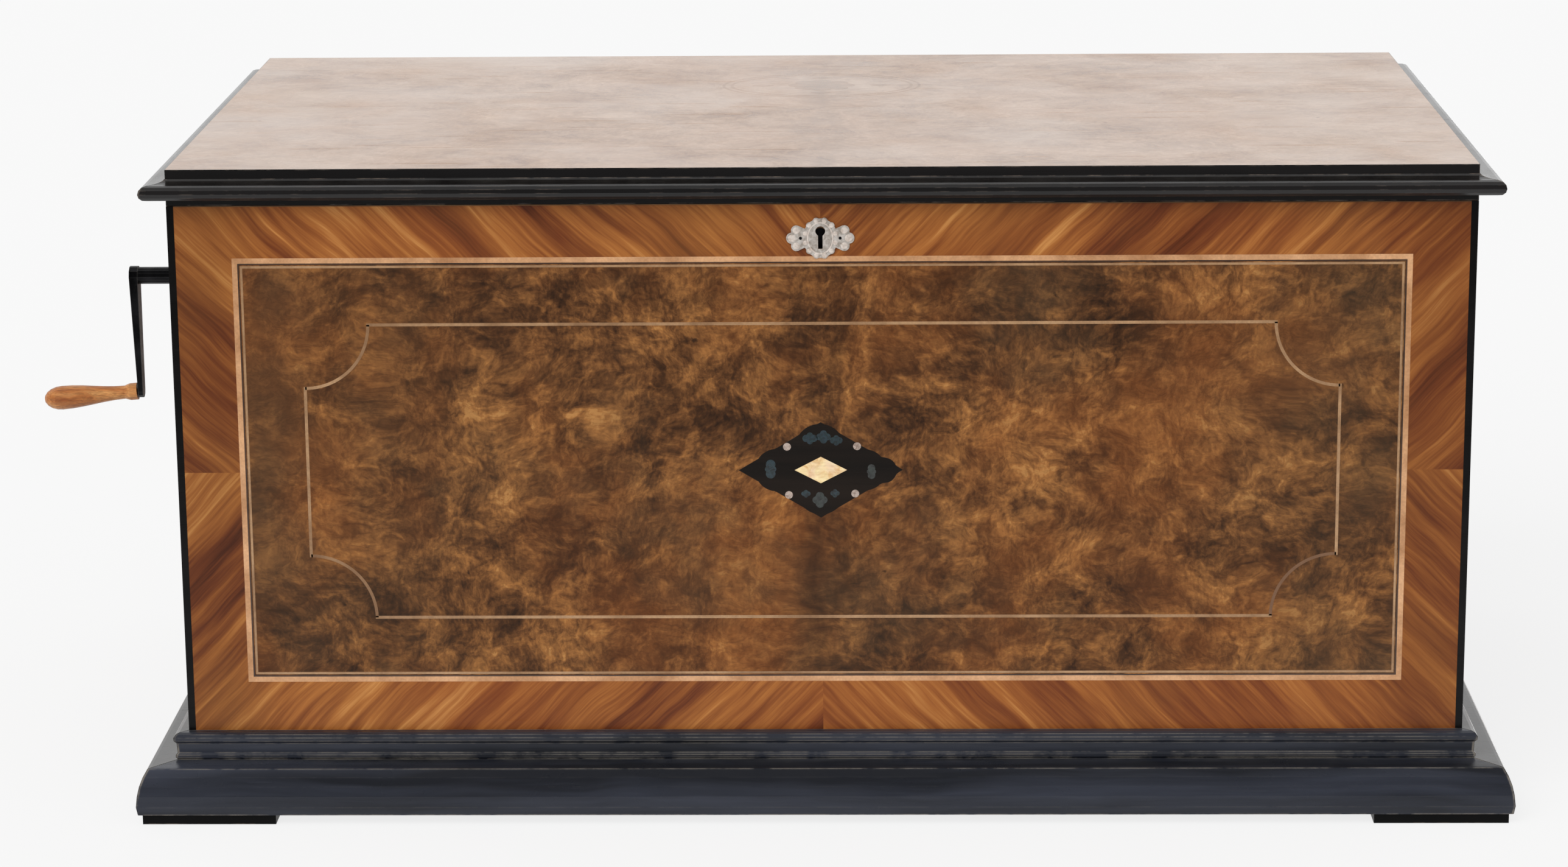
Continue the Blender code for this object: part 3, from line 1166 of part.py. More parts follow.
def worm_shape(base_z):
    """Worm on its arbor: a round bar whose skin rises and falls along a helix."""
    tip = WORM_RADIUS + ADDENDUM * GOVERNOR_MODULE
    root = WORM_RADIUS - DEDENDUM * GOVERNOR_MODULE
    build = bmesh.new()
    bmesh.ops.create_cone(build, cap_ends=True, segments=WORM_FACETS, radius1=root, radius2=root,
                          depth=WORM_LENGTH)
    rings = WORM_TURNS * WORM_RINGS_PER_TURN
    for ring in range(1, rings):
        height = -WORM_LENGTH / 2 + WORM_LENGTH * ring / rings
        bmesh.ops.bisect_plane(build, geom=build.verts[:] + build.edges[:] + build.faces[:],
                               plane_co=(0.0, 0.0, height), plane_no=(0.0, 0.0, 1.0))
    for vert in build.verts:
        if abs(vert.co.z) < WORM_LENGTH / 2 - WELD:
            angle = math.atan2(vert.co.y, vert.co.x)
            turn = (angle - math.pi / 2) / (2 * math.pi) - vert.co.z / WORM_PITCH
            near = abs((turn + 0.5) % 1.0 - 0.5) * 2
            height = max(0.0, min(1.0, (near - WORM_ROOT_SHARE) / WORM_FLANK_SHARE))
            radius = root + (tip - root) * height
            vert.co.x = radius * math.cos(angle)
            vert.co.y = radius * math.sin(angle)
    shape = mesh_object(build)
    shape.location = (WORM_X, WORM_Y, base_z)
    return shape


def build_governor():
    phase = bearing_angle(GOVERNOR_Y, GOVERNOR_Z, CYLINDER_Y, CYLINDER_Z) + math.pi / GOVERNOR_PINION_TEETH
    pinion_x = CYLINDER_WHEEL_X - PINION_SIDE
    left = pinion_x - GOVERNOR_ARBOR_END
    right = UPRIGHT_X + BRACKET - GOVERNOR_ARBOR_END
    arbor = rod(GOVERNOR_ARBOR_RADIUS, (left, GOVERNOR_Y, GOVERNOR_Z), right - left, ACROSS)
    pinion = outline([gear_outline(GOVERNOR_PINION_TEETH, GOVERNOR_PINION_RADIUS, phase)],
                     WHEEL_THICKNESS + 2 * PINION_SIDE, (pinion_x, GOVERNOR_Y, GOVERNOR_Z), ACROSS)
    wheel = outline([gear_outline(GOVERNOR_WHEEL_TEETH, GOVERNOR_WHEEL_RADIUS, math.pi)], WHEEL_THICKNESS,
                    (GOVERNOR_WHEEL_X, GOVERNOR_Y, GOVERNOR_Z), ACROSS)
    node("governor_wheel", "brass", arbor, joins=[pinion, wheel])

    bottom = GOVERNOR_Z - FAN_ARBOR_DROP
    arbor = rod(FAN_ARBOR_RADIUS, (WORM_X, WORM_Y, bottom), COCK_Z + FAN_ARBOR_IN - bottom)
    hub = rod(FAN_HUB, (WORM_X, WORM_Y, FAN_Z - SINK), FAN_HEIGHT + 2 * SINK)
    blades = box((WORM_X - FAN_RADIUS, WORM_Y - FAN_BLADE / 2, FAN_Z),
                 (WORM_X + FAN_RADIUS, WORM_Y + FAN_BLADE / 2, FAN_Z + FAN_HEIGHT))
    node("governor_fan", "steel", arbor, joins=[worm_shape(GOVERNOR_Z), hub, blades])

    foot = box((WORM_X - FRAME_LEFT, WORM_Y - FRAME_FRONT, SEAT_Z),
               (FRAME_RIGHT, GOVERNOR_Y + FRAME_BACK, SEAT_Z + FRAME_FOOT), bevel=FRAME_EASE)
    upright = box((UPRIGHT_X, GOVERNOR_Y - UPRIGHT_HALF, SEAT_Z + 2 * SINK),
                  (UPRIGHT_X + BRACKET, GOVERNOR_Y + UPRIGHT_HALF, COCK_Z + COCK))
    cock = box((WORM_X - COCK_OVER_WORM, WORM_Y - BLOCK_HALF, COCK_Z),
               (UPRIGHT_X + BRACKET - 2 * SINK, GOVERNOR_Y - 4 * SINK, COCK_Z + COCK))
    block = box((WORM_X - BLOCK_HALF, WORM_Y - BLOCK_HALF, SEAT_Z + 2 * SINK),
                (WORM_X + BLOCK_HALF, WORM_Y + BLOCK_HALF, bottom + FAN_ARBOR_IN))
    fan_bore = FAN_ARBOR_RADIUS + RUNNING
    holes = [rod(fan_bore, (WORM_X, WORM_Y, bottom - GAP), FAN_ARBOR_IN + GAP + SINK),
             rod(fan_bore, (WORM_X, WORM_Y, COCK_Z - SINK), SINK + FAN_ARBOR_IN + GAP),
             bore_along_x(GOVERNOR_ARBOR_RADIUS + RUNNING, UPRIGHT_X - SINK,
                          SINK + BRACKET - GOVERNOR_ARBOR_END + GAP, GOVERNOR_Y, GOVERNOR_Z)]
    node("governor_frame", "brass", foot, joins=[upright, cock, block], cuts=holes)


def build_comb():
    left = CYLINDER_LEFT + COMB_LEFT_MARGIN
    right = CYLINDER_RIGHT - COMB_RIGHT_MARGIN
    under = CYLINDER_Z - COMB_THICKNESS
    base = box((left, COMB_FRONT, SEAT_Z), (right, COMB_ROOT, under - GAP), bevel=COMB_EASE)
    relief = box((left - WALL, COMB_ROOT - RELIEF_DEPTH, SEAT_Z + RELIEF_FOOT),
                 (right + WALL, COMB_ROOT + WALL, CYLINDER_Z - RELIEF_HEAD))
    node("comb_base", "cast_iron", base, cuts=[relief])
    pitch = (right - left - 2 * COMB_MARGIN) / COMB_TEETH
    points = [(left, COMB_FRONT), (right, COMB_FRONT), (right, COMB_ROOT)]
    for tooth in range(COMB_TEETH - 1, -1, -1):
        start = left + COMB_MARGIN + tooth * pitch
        low = start + COMB_SLOT / 2
        high = start + pitch - COMB_SLOT / 2
        narrow = COMB_TAPER * pitch
        points += [(high, COMB_ROOT), (high - narrow, COMB_TIPS)]
        points += [(low + narrow, COMB_TIPS), (low, COMB_ROOT)]
    points.append((left, COMB_ROOT))
    node("comb", "steel", outline([points], COMB_THICKNESS, (0.0, 0.0, under)))


# Hammers and what they strike

def lever_shape(x, chain, width):
    """Lever in the plane across the rod, as a chain of plates between circles (y, z, radius)."""
    local = [(y - ROD_Y, z - CYLINDER_Z, radius) for y, z, radius in chain]
    plates = []
    for link in range(len(local) - 1):
        thickness = width - HAMMER_STEP * link
        plates.append(hull([local[link], local[link + 1]], thickness, (x - thickness / 2, ROD_Y, CYLINDER_Z),
                           ACROSS, ROUND_LEAST))
    return plates


def build_hammer(name, x, arm):
    """Hammer on the rail's rod: an arm to what it strikes and a tail that the cylinder's pins lift."""
    hub = (ROD_Y, CYLINDER_Z, HAMMER_HUB)
    tail = (CYLINDER_Y + CYLINDER_RADIUS + TAIL_GAP, CYLINDER_Z, TAIL_RADIUS)
    plates = lever_shape(x, [hub] + arm, HAMMER_WIDTH) + lever_shape(x, [hub, tail], TAIL_WIDTH)
    bore_length = HAMMER_WIDTH + 2 * SINK
    bore = rod(HAMMER_ROD + RUNNING, (x - bore_length / 2, ROD_Y, CYLINDER_Z), bore_length, ACROSS)
    node(name, "steel", plates[0], joins=plates[1:], cuts=[bore])


def build_hammers():
    strike_radius = BELL_RADIUS * math.sqrt(1 - (HAMMER_HEAD_RISE / BELL_HEIGHT) ** 2)
    head_y = BELL_ROW_Y - strike_radius - HAMMER_HEAD - BELL_GAP
    bell_arm = [(ROD_Y + HAMMER_KNEE, CYLINDER_Z + HAMMER_KNEE, HAMMER_NECK),
                (head_y, CYLINDER_Z + HAMMER_HEAD_RISE, HAMMER_HEAD)]
    for index in range(BELLS):
        build_hammer(f"bell_hammer_{index + 1}", BELL_FIRST_X + index * BELL_SPACING, bell_arm)
    for name, x, far_y in (("drum_stick", DRUM_X, DRUM_CENTRE_Y - STICK_INSET),
                           ("castanet_striker", CASTANET_X, CASTANET_CENTRE_Y)):
        neck = (far_y - BEATER_NECK, CYLINDER_Z, HAMMER_NECK)
        build_hammer(name, x, [neck, (far_y, CYLINDER_Z - BEATER_DROP, HAMMER_HEAD)])
    rail = box((RAIL_POSTS[0] - RAIL_END, ROD_Y - RAIL_HALF, SEAT_Z),
               (RAIL_POSTS[-1] + RAIL_END, ROD_Y + RAIL_HALF, SEAT_Z + RAIL_FOOT), bevel=RAIL_EASE)
    foot_z = SEAT_Z + RAIL_FOOT - 2 * SINK
    eye = (ROD_Y, CYLINDER_Z, POST_EYE)
    feet = [(ROD_Y - POST_FOOT, foot_z, POST_CORNER), (ROD_Y + POST_FOOT, foot_z, POST_CORNER)]
    joins = [hull([eye] + feet, POST_WIDTH, (x - POST_WIDTH / 2, 0.0, 0.0), ACROSS) for x in RAIL_POSTS]
    joins.append(rod(HAMMER_ROD, (RAIL_POSTS[0] - SINK, ROD_Y, CYLINDER_Z),
                     RAIL_POSTS[-1] - RAIL_POSTS[0] + 2 * SINK, ACROSS))
    node("hammer_rail", "brass", rail, joins=joins)


def bell_shape(x):
    """Hemispherical bell, mouth down, with a hole for its stud."""
    hole = BELL_STUD + RUNNING
    sides = []
    for radius, height in ((BELL_RADIUS, BELL_HEIGHT), (BELL_RADIUS - BELL_WALL, BELL_HEIGHT - BELL_WALL)):
        start = math.acos(hole / radius)
        angles = [start * (1 - step / BELL_STEPS) for step in range(BELL_STEPS + 1)]
        sides.append([(radius * math.cos(angle), CYLINDER_Z + height * math.sin(angle)) for angle in angles])
    return turned_ring(sides[0] + sides[1][::-1], (x, BELL_ROW_Y, 0.0))


def build_bells():
    bar = box((BELL_FIRST_X - STAND_END, BELL_ROW_Y - STAND_HALF, SEAT_Z),
              (BELL_LAST_X + STAND_END, BELL_ROW_Y + STAND_HALF, SEAT_Z + STAND), bevel=STAND_EASE)
    crown = CYLINDER_Z + BELL_HEIGHT
    inner_share = math.sqrt(1 - (BELL_POST / (BELL_RADIUS - BELL_WALL)) ** 2)
    shoulder = CYLINDER_Z + (BELL_HEIGHT - BELL_WALL) * inner_share - 2 * GAP
    collar_z = SEAT_Z + STAND + COLLAR_RISE
    posts = []
    for index in range(BELLS):
        x = BELL_FIRST_X + index * BELL_SPACING
        posts.append(turned([(0.0, crown + STUD_PROUD + STUD_TIP), (BELL_STUD, crown + STUD_PROUD),
                             (BELL_STUD, shoulder), (BELL_POST, shoulder), (BELL_POST, collar_z + COLLAR),
                             (BELL_POST + COLLAR, collar_z), (BELL_POST + COLLAR, SEAT_Z + STAND / 2),
                             (0.0, SEAT_Z + STAND / 2)], (x, BELL_ROW_Y, 0.0), facets=ROUND_SMALL))
    node("bell_stand", "brass", bar, joins=posts)
    for index in range(BELLS):
        node(f"bell_{index + 1}", "bell_metal", bell_shape(BELL_FIRST_X + index * BELL_SPACING))


def build_drum():
    head = STRUCK_TOP
    foot = head - DRUM_HEIGHT
    hoop = DRUM_RADIUS + HOOP_PROUD
    skin = DRUM_RADIUS - DRUM_RIM_WIDTH
    profile = [(0.0, head), (skin, head), (skin + DRUM_RIM_SLOPE, head + DRUM_RIM),
               (DRUM_RADIUS, head + DRUM_RIM), (hoop, head), (hoop, head - HOOP),
               (DRUM_RADIUS, head - HOOP - HOOP_STEP),
               (DRUM_RADIUS, foot + HOOP), (hoop, foot + HOOP - HOOP_STEP), (hoop, foot),
               (DRUM_STEM + STEM_FLARE, foot), (DRUM_STEM, SEAT_Z + FOOT_RISE),
               (DRUM_FOOT, SEAT_Z + FOOT_EDGE), (DRUM_FOOT, SEAT_Z), (0.0, SEAT_Z)]
    node("drum", "parchment", turned(profile, (DRUM_X, DRUM_CENTRE_Y, 0.0), facets=DRUM_FACETS))


def build_castanet():
    low_x = CASTANET_X - CASTANET_WIDTH / 2
    high_x = CASTANET_X + CASTANET_WIDTH / 2
    low_y = CASTANET_CENTRE_Y - CASTANET_DEPTH / 2
    high_y = CASTANET_CENTRE_Y + CASTANET_DEPTH / 2
    low = STRUCK_TOP - CASTANET_HEIGHT
    block = box((low_x, low_y, low), (high_x, high_y, STRUCK_TOP), bevel=CASTANET_EASE)
    top = low + 4 * SINK
    post = turned([(0.0, top), (CASTANET_STEM + SINK, top), (CASTANET_STEM, SEAT_Z + FOOT_RISE),
                   (CASTANET_FOOT, SEAT_Z + FOOT_EDGE), (CASTANET_FOOT, SEAT_Z), (0.0, SEAT_Z)],
                  (CASTANET_X, CASTANET_CENTRE_Y, 0.0), facets=ROUND_SMALL)
    slot_z = low + CASTANET_SLOT_AT
    slot = box((low_x - SINK, low_y - SINK, slot_z),
               (high_x + SINK, high_y - CASTANET_BACK, slot_z + CASTANET_SLOT))
    node("castanet_block", "beech", block, joins=[post], cuts=[slot])


LID_HINGE = pivot("lid_hinge", (0.0, HINGE_Y, RIM_Z))
build_case()
build_lid(LID_HINGE)
build_lock(LID_HINGE)
build_escutcheon()
build_glass_lid()
build_controls()
build_bed()
build_comb()
build_winding()
build_cylinder()
build_governor()
build_bells()
build_drum()
build_castanet()
build_hammers()
build_crank()
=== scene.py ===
"""Dresses the orchestral music box: veneers, lines and inlay on the case, finishes on every
part of the movement, and the plain studio it stands in. Metres, +Z up, front along -Y."""

import logging
import math
import random
from dataclasses import dataclass, replace
from enum import Enum
from typing import Callable, Iterable, Optional, Sequence, Union

import bmesh
import bpy
from mathutils import Matrix, Vector


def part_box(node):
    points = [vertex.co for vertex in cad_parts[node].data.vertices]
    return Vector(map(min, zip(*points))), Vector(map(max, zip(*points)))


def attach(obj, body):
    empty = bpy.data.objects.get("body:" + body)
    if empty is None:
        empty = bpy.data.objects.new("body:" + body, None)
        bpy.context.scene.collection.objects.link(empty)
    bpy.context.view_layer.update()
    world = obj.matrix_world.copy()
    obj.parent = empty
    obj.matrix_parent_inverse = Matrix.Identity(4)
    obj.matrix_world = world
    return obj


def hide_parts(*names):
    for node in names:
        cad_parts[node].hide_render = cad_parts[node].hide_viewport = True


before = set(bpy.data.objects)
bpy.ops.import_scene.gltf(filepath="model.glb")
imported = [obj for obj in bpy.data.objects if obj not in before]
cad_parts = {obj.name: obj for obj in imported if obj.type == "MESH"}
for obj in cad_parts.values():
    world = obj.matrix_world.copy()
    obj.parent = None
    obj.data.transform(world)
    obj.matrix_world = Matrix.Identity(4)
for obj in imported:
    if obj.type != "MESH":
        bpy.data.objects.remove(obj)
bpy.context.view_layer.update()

log = logging.getLogger("music_box")

Socket = bpy.types.NodeSocket
Feed = Union[bpy.types.NodeSocket, float, int, tuple]
Stops = Sequence[tuple[float, str]]
Pair = tuple[float, float]
Triple = tuple[float, float, float]
Reach = Callable[[float], float]
Outline = Callable[[float], Pair]

# Millimetre, so that sizes read as a maker would say them
MM = 0.001

# Sides of the case with their sign along X
SIDES = ((-1, "left"), (1, "right"))


def tint(code: str) -> tuple[float, float, float, float]:
    """Turn a six-digit colour code into a linear colour.

    Args:
        code: Colour as a hash and six hexadecimal digits.

    Returns:
        Linear red, green and blue with an alpha of one.
    """
    parts = [int(code[i:i + 2], 16) / 255.0 for i in (1, 3, 5)]
    linear = [p / 12.92 if p <= 0.04045 else ((p + 0.055) / 1.055) ** 2.4 for p in parts]
    return (linear[0], linear[1], linear[2], 1.0)


class Effect(Enum):
    """Surface effects that several finishes share."""

    GRAIN = "wood_grain"
    BURR = "burr_figure"
    EDGE_WEAR = "edge_wear"
    HANDLING = "handling_marks"
    DUST = "settled_dust"
    STREAKS = "tool_streaks"
    TARNISH = "tarnish"


class Axis(Enum):
    """Direction in which a grain runs."""

    X = (0.0, 0.0, 0.0)
    Z = (0.0, math.pi / 2, 0.0)


# Shader graphs

class Graph:
    """Wires the nodes of one material or node group."""

    def __init__(self, tree: bpy.types.NodeTree) -> None:
        """Work on an existing node tree."""
        self.tree = tree

    def add(self, kind: str, settings: Optional[dict] = None, feeds: Optional[dict] = None) -> bpy.types.Node:
        """Add a node.

        Args:
            kind: Blender's name for the node type.
            settings: Attributes of the node.
            feeds: Values or sockets for its inputs, by name or place.

        Returns:
            The new node.
        """
        node = self.tree.nodes.new(kind)
        for key, value in (settings or {}).items():
            setattr(node, key, value)
        for key, value in (feeds or {}).items():
            self.feed(node.inputs[key], value)
        return node

    def feed(self, socket: Socket, value: Feed) -> None:
        """Link a socket to an input, or set the input's own value.

        Args:
            socket: Input that is fed.
            value: Output socket, number or tuple.
        """
        if isinstance(value, bpy.types.NodeSocket):
            self.tree.links.new(value, socket)
        else:
            socket.default_value = value

    def math(self, operation: str, first: Feed, second: Feed = 0.0, clamp: bool = False) -> Socket:
        """Combine two numbers.

        Args:
            operation: Name of the operation, such as ADD.
            first: First number.
            second: Second number.
            clamp: Whether the result is held between zero and one.

        Returns:
            The result's socket.
        """
        return self.add("ShaderNodeMath", {"operation": operation, "use_clamp": clamp},
                        {0: first, 1: second}).outputs[0]

    def times(self, first: Feed, second: Feed, clamp: bool = False) -> Socket:
        """Multiply two numbers."""
        return self.math("MULTIPLY", first, second, clamp)

    def plus(self, first: Feed, second: Feed, clamp: bool = False) -> Socket:
        """Add two numbers."""
        return self.math("ADD", first, second, clamp)

    def minus(self, first: Feed, second: Feed) -> Socket:
        """Take the second number from the first."""
        return self.math("SUBTRACT", first, second)

    def swing(self, noise: Feed, gain: Feed) -> Socket:
        """Turn a noise around a half into one around zero, with a gain."""
        return self.times(self.minus(noise, 0.5), gain)

    def layered(self, layers: Iterable[tuple[Feed, float]]) -> Feed:
        """Add up noises around a half.

        Args:
            layers: Each noise with its gain.

        Returns:
            Their sum, around a half too.
        """
        tone: Feed = 0.5
        for layer, gain in layers:
            tone = self.plus(tone, self.swing(layer, gain))
        return tone

    def vector(self, operation: str, first: Feed, second: Feed) -> Socket:
        """Combine two vectors.

        Args:
            operation: Name of the operation, such as MULTIPLY.
            first: First vector.
            second: Second vector.

        Returns:
            The result's socket, a number for DOT_PRODUCT.
        """
        node = self.add("ShaderNodeVectorMath", {"operation": operation}, {0: first, 1: second})
        return node.outputs["Value" if operation == "DOT_PRODUCT" else "Vector"]

    def noise(self, vector: Feed, scale: Feed, detail: float = 2.0, rough: float = 0.5,
              twist: float = 0.0) -> Socket:
        """Sample a cloudy noise.

        Args:
            vector: Place that is sampled.
            scale: Features per unit.
            detail: Octaves.
            rough: Weight of the finer octaves.
            twist: Distortion of the place.

        Returns:
            Socket with a number around a half.
        """
        return self.add("ShaderNodeTexNoise", {}, {"Vector": vector, "Scale": scale, "Detail": detail,
                                                   "Roughness": rough, "Distortion": twist}).outputs[0]

    def cells(self, vector: Feed, scale: Feed, output: str = "Distance") -> Socket:
        """Sample scattered cells.

        Args:
            vector: Place that is sampled.
            scale: Cells per unit.
            output: Which output of the cells is used.

        Returns:
            The chosen output's socket.
        """
        return self.add("ShaderNodeTexVoronoi", {}, {"Vector": vector, "Scale": scale}).outputs[output]

    def remap(self, value: Feed, low: float, high: float, to_low: float = 0.0,
              to_high: float = 1.0) -> Socket:
        """Map a range of a number to another range, held at its ends.

        Args:
            value: Number that is mapped.
            low: Start of the range.
            high: End of the range.
            to_low: What the start becomes.
            to_high: What the end becomes.

        Returns:
            The result's socket.
        """
        return self.add("ShaderNodeMapRange", {"clamp": True},
                        {0: value, 1: low, 2: high, 3: to_low, 4: to_high}).outputs[0]

    def ramp(self, value: Feed, stops: Stops) -> Socket:
        """Turn a number into a colour.

        Args:
            value: Number from zero to one.
            stops: Places and colour codes, in order.

        Returns:
            The colour's socket.
        """
        node = self.add("ShaderNodeValToRGB", {}, {0: value})
        elements = node.color_ramp.elements
        while len(elements) < len(stops):
            elements.new(0.5)
        for element, (place, code) in zip(elements, stops):
            element.position = place
            element.color = tint(code)
        return node.outputs[0]

    def mix(self, share: Feed, first: Feed, second: Feed, blend: str = "MIX") -> Socket:
        """Mix two colours.

        Args:
            share: Share of the second colour.
            first: First colour.
            second: Second colour.
            blend: Blend type.

        Returns:
            The colour's socket.
        """
        return self.add("ShaderNodeMix", {"data_type": "RGBA", "blend_type": blend, "clamp_factor": True},
                        {0: share, 6: first, 7: second}).outputs[2]

    def shade(self, colour: Feed, value: Feed) -> Socket:
        """Darken or brighten a colour by a factor."""
        return self.mix(1.0, colour, self.join(value, value, value), "MULTIPLY")

    def tinge(self, colour: Feed, mask: Feed, low: float, high: float, share: float, code: str) -> Socket:
        """Mix a colour into another where a mask is high.

        Args:
            colour: Colour that is tinged.
            mask: Number that decides where.
            low: Mask at which the second colour begins.
            high: Mask at which it is fullest.
            share: Its fullest share.
            code: Code of the second colour.

        Returns:
            The colour's socket.
        """
        return self.mix(self.remap(mask, low, high, 0.0, share), colour, tint(code))

    def parts(self, vector: Feed) -> tuple[Socket, Socket, Socket]:
        """Split a vector into its three numbers."""
        node = self.add("ShaderNodeSeparateXYZ", {}, {0: vector})
        return node.outputs[0], node.outputs[1], node.outputs[2]

    def join(self, x: Feed, y: Feed, z: Feed) -> Socket:
        """Make a vector from three numbers."""
        return self.add("ShaderNodeCombineXYZ", {}, {0: x, 1: y, 2: z}).outputs[0]

    def turn(self, vector: Feed, rotation: Sequence[float] = (0.0, 0.0, 0.0),
             location: Sequence[float] = (0.0, 0.0, 0.0), scale: Sequence[float] = (1.0, 1.0, 1.0)) -> Socket:
        """Centre and turn a pattern with a Mapping node.

        Args:
            vector: Place that is mapped.
            rotation: Turn about each axis.
            location: What is added to the place.
            scale: Factor along each axis.

        Returns:
            The mapped place's socket.
        """
        return self.add("ShaderNodeMapping", {}, {"Vector": vector, "Rotation": tuple(rotation),
                                                  "Location": tuple(location),
                                                  "Scale": tuple(scale)}).outputs[0]

    def effect(self, kind: Effect, feeds: dict) -> dict[str, Socket]:
        """Place a shared effect with its own values.

        Args:
            kind: Effect that is placed.
            feeds: Values or sockets for the effect's inputs, by name.

        Returns:
            The effect's outputs by name.
        """
        node = self.add("ShaderNodeGroup", {"node_tree": EffectLibrary.tree(kind)}, feeds)
        return {output.name: output for output in node.outputs}


class EffectLibrary:
    """Node groups of the shared effects, each built once."""

    @classmethod
    def tree(cls, kind: Effect) -> bpy.types.NodeTree:
        """Give an effect's group, built at its first use.

        Args:
            kind: Effect that is wanted.

        Returns:
            Its node group.
        """
        found = bpy.data.node_groups.get(kind.value)
        return found if found else getattr(cls, "_" + kind.name.lower())()

    @staticmethod
    def _start(kind: Effect, inputs: dict[str, float],
               outputs: Sequence[str]) -> tuple[Graph, dict, Callable]:
        """Open a group with its sockets.

        Args:
            kind: Effect that the group is for.
            inputs: Number inputs with their first values. A Vector input comes before them.
            outputs: Names of the number outputs.

        Returns:
            The graph, its input sockets by name, and a function that feeds the outputs.
        """
        tree = bpy.data.node_groups.new(kind.value, "ShaderNodeTree")
        tree.interface.new_socket("Vector", in_out="INPUT", socket_type="NodeSocketVector")
        for label, value in inputs.items():
            socket = tree.interface.new_socket(label, in_out="INPUT", socket_type="NodeSocketFloat")
            socket.default_value = value
        for label in outputs:
            tree.interface.new_socket(label, in_out="OUTPUT", socket_type="NodeSocketFloat")
        graph = Graph(tree)
        entry = graph.add("NodeGroupInput")
        leave = graph.add("NodeGroupOutput")

        def close(results: dict[str, Socket]) -> bpy.types.NodeTree:
            """Feed the outputs.

            Args:
                results: Socket of each output by name.

            Returns:
                The finished tree.
            """
            for label, socket in results.items():
                graph.feed(leave.inputs[label], socket)
            return tree

        return graph, {socket.name: socket for socket in entry.outputs}, close

    @classmethod
    def _grain(cls) -> bpy.types.NodeTree:
        """Straight grain along X: broad bands, fine fibres and open pores.

        Returns:
            The effect's group.
        """
        graph, given, close = cls._start(
            Effect.GRAIN, {"Band": 60.0, "Fibre": 700.0, "Stretch": 14.0, "Warp": 0.5},
            ("Figure", "Fibres", "Pores", "Height"))
        along = graph.math("DIVIDE", 1.0, given["Stretch"])
        sway = graph.noise(given["Vector"], graph.times(given["Band"], 0.30), 2.0)
        sway = graph.swing(sway, graph.math("DIVIDE", given["Warp"], given["Band"]))
        place = graph.vector("ADD", given["Vector"], graph.join(0.0, sway, sway))
        drawn = graph.vector("MULTIPLY", place, graph.join(along, 1.0, 1.0))
        figure = graph.noise(drawn, given["Band"], 4.0, 0.58)
        fibres = graph.noise(drawn, given["Fibre"], 4.0, 0.65)
        longer = graph.vector("MULTIPLY", place, graph.join(graph.times(along, 0.7), 1.0, 1.0))
        pores = graph.noise(longer, graph.times(given["Fibre"], 1.5), 1.0)
        pores = graph.remap(pores, 0.60, 0.70)
        height = graph.minus(graph.times(fibres, 0.4), graph.times(pores, 0.6))
        return close({"Figure": figure, "Fibres": fibres, "Pores": pores, "Height": height})

    @classmethod
    def _burr(cls) -> bpy.types.NodeTree:
        """Burr figure: clouds, blotches, mottle, curling lines, and dark eyes and knots.

        Returns:
            The effect's group.
        """
        graph, given, close = cls._start(Effect.BURR, {"Cloud": 14.0, "Curl": 1.0},
                                         ("Clouds", "Blotch", "Mottle", "Eyes", "Curls", "Height"))
        place = given["Vector"]
        cloud = given["Cloud"]
        reach = graph.math("DIVIDE", given["Curl"], cloud)
        pushes = [graph.swing(graph.noise(spot, graph.times(cloud, 1.4), 4.0, 0.6), reach)
                  for spot in (place, graph.turn(place, location=(3.1, 1.7, 5.3)))]
        curled = graph.vector("ADD", place, graph.join(pushes[0], 0.0, pushes[1]))
        clouds = graph.noise(curled, cloud, 5.0, 0.55, 0.4)
        blotch = graph.noise(curled, graph.times(cloud, 3.2), 4.0, 0.55, 0.35)
        mottle = graph.noise(curled, graph.times(cloud, 11.0), 4.0, 0.62, 0.3)
        drawn = graph.vector("MULTIPLY", curled, (1.0, 1.0, 2.4))
        lines = graph.noise(drawn, graph.times(cloud, 6.0), 3.0, 0.6, 1.2)
        curls = graph.times(graph.math("ABSOLUTE", graph.minus(lines, 0.5)), 6.0, True)
        ragged = graph.swing(mottle, 0.35)
        marks: Feed = 0.0
        for share, chance, radius in ((3.9, 0.80, 0.10), (1.15, 0.72, 0.085)):
            scale = graph.times(cloud, share)
            spread = graph.plus(graph.cells(curled, scale), ragged)
            pick = graph.parts(graph.cells(curled, scale, "Color"))[0]
            spot = graph.times(graph.remap(spread, radius, radius * 0.25),
                               graph.remap(pick, chance, chance + 0.10))
            marks = graph.math("MAXIMUM", marks, spot)
        height = graph.minus(graph.times(mottle, 0.5), graph.times(marks, 0.3))
        return close({"Clouds": clouds, "Blotch": blotch, "Mottle": mottle, "Eyes": marks, "Curls": curls,
                      "Height": height})

    @classmethod
    def _edge_wear(cls) -> bpy.types.NodeTree:
        """Rubbed edges: where a rounded normal leaves the true one, broken up by noise.

        Returns:
            The effect's group.
        """
        graph, given, close = cls._start(
            Effect.EDGE_WEAR, {"Radius": 0.0015, "Reach": 0.05, "Breakup": 90.0, "Cover": 0.5}, ("Mask",))
        rounded = graph.add("ShaderNodeBevel", {"samples": 6}, {"Radius": given["Radius"]}).outputs[0]
        straight = graph.add("ShaderNodeNewGeometry").outputs["Normal"]
        bend = graph.minus(1.0, graph.vector("DOT_PRODUCT", rounded, straight))
        bend = graph.math("DIVIDE", bend, given["Reach"], True)
        patch = graph.noise(given["Vector"], given["Breakup"], 4.0, 0.65)
        patch = graph.times(graph.minus(graph.plus(patch, given["Cover"]), 0.75), 6.0, True)
        return close({"Mask": graph.times(bend, patch)})

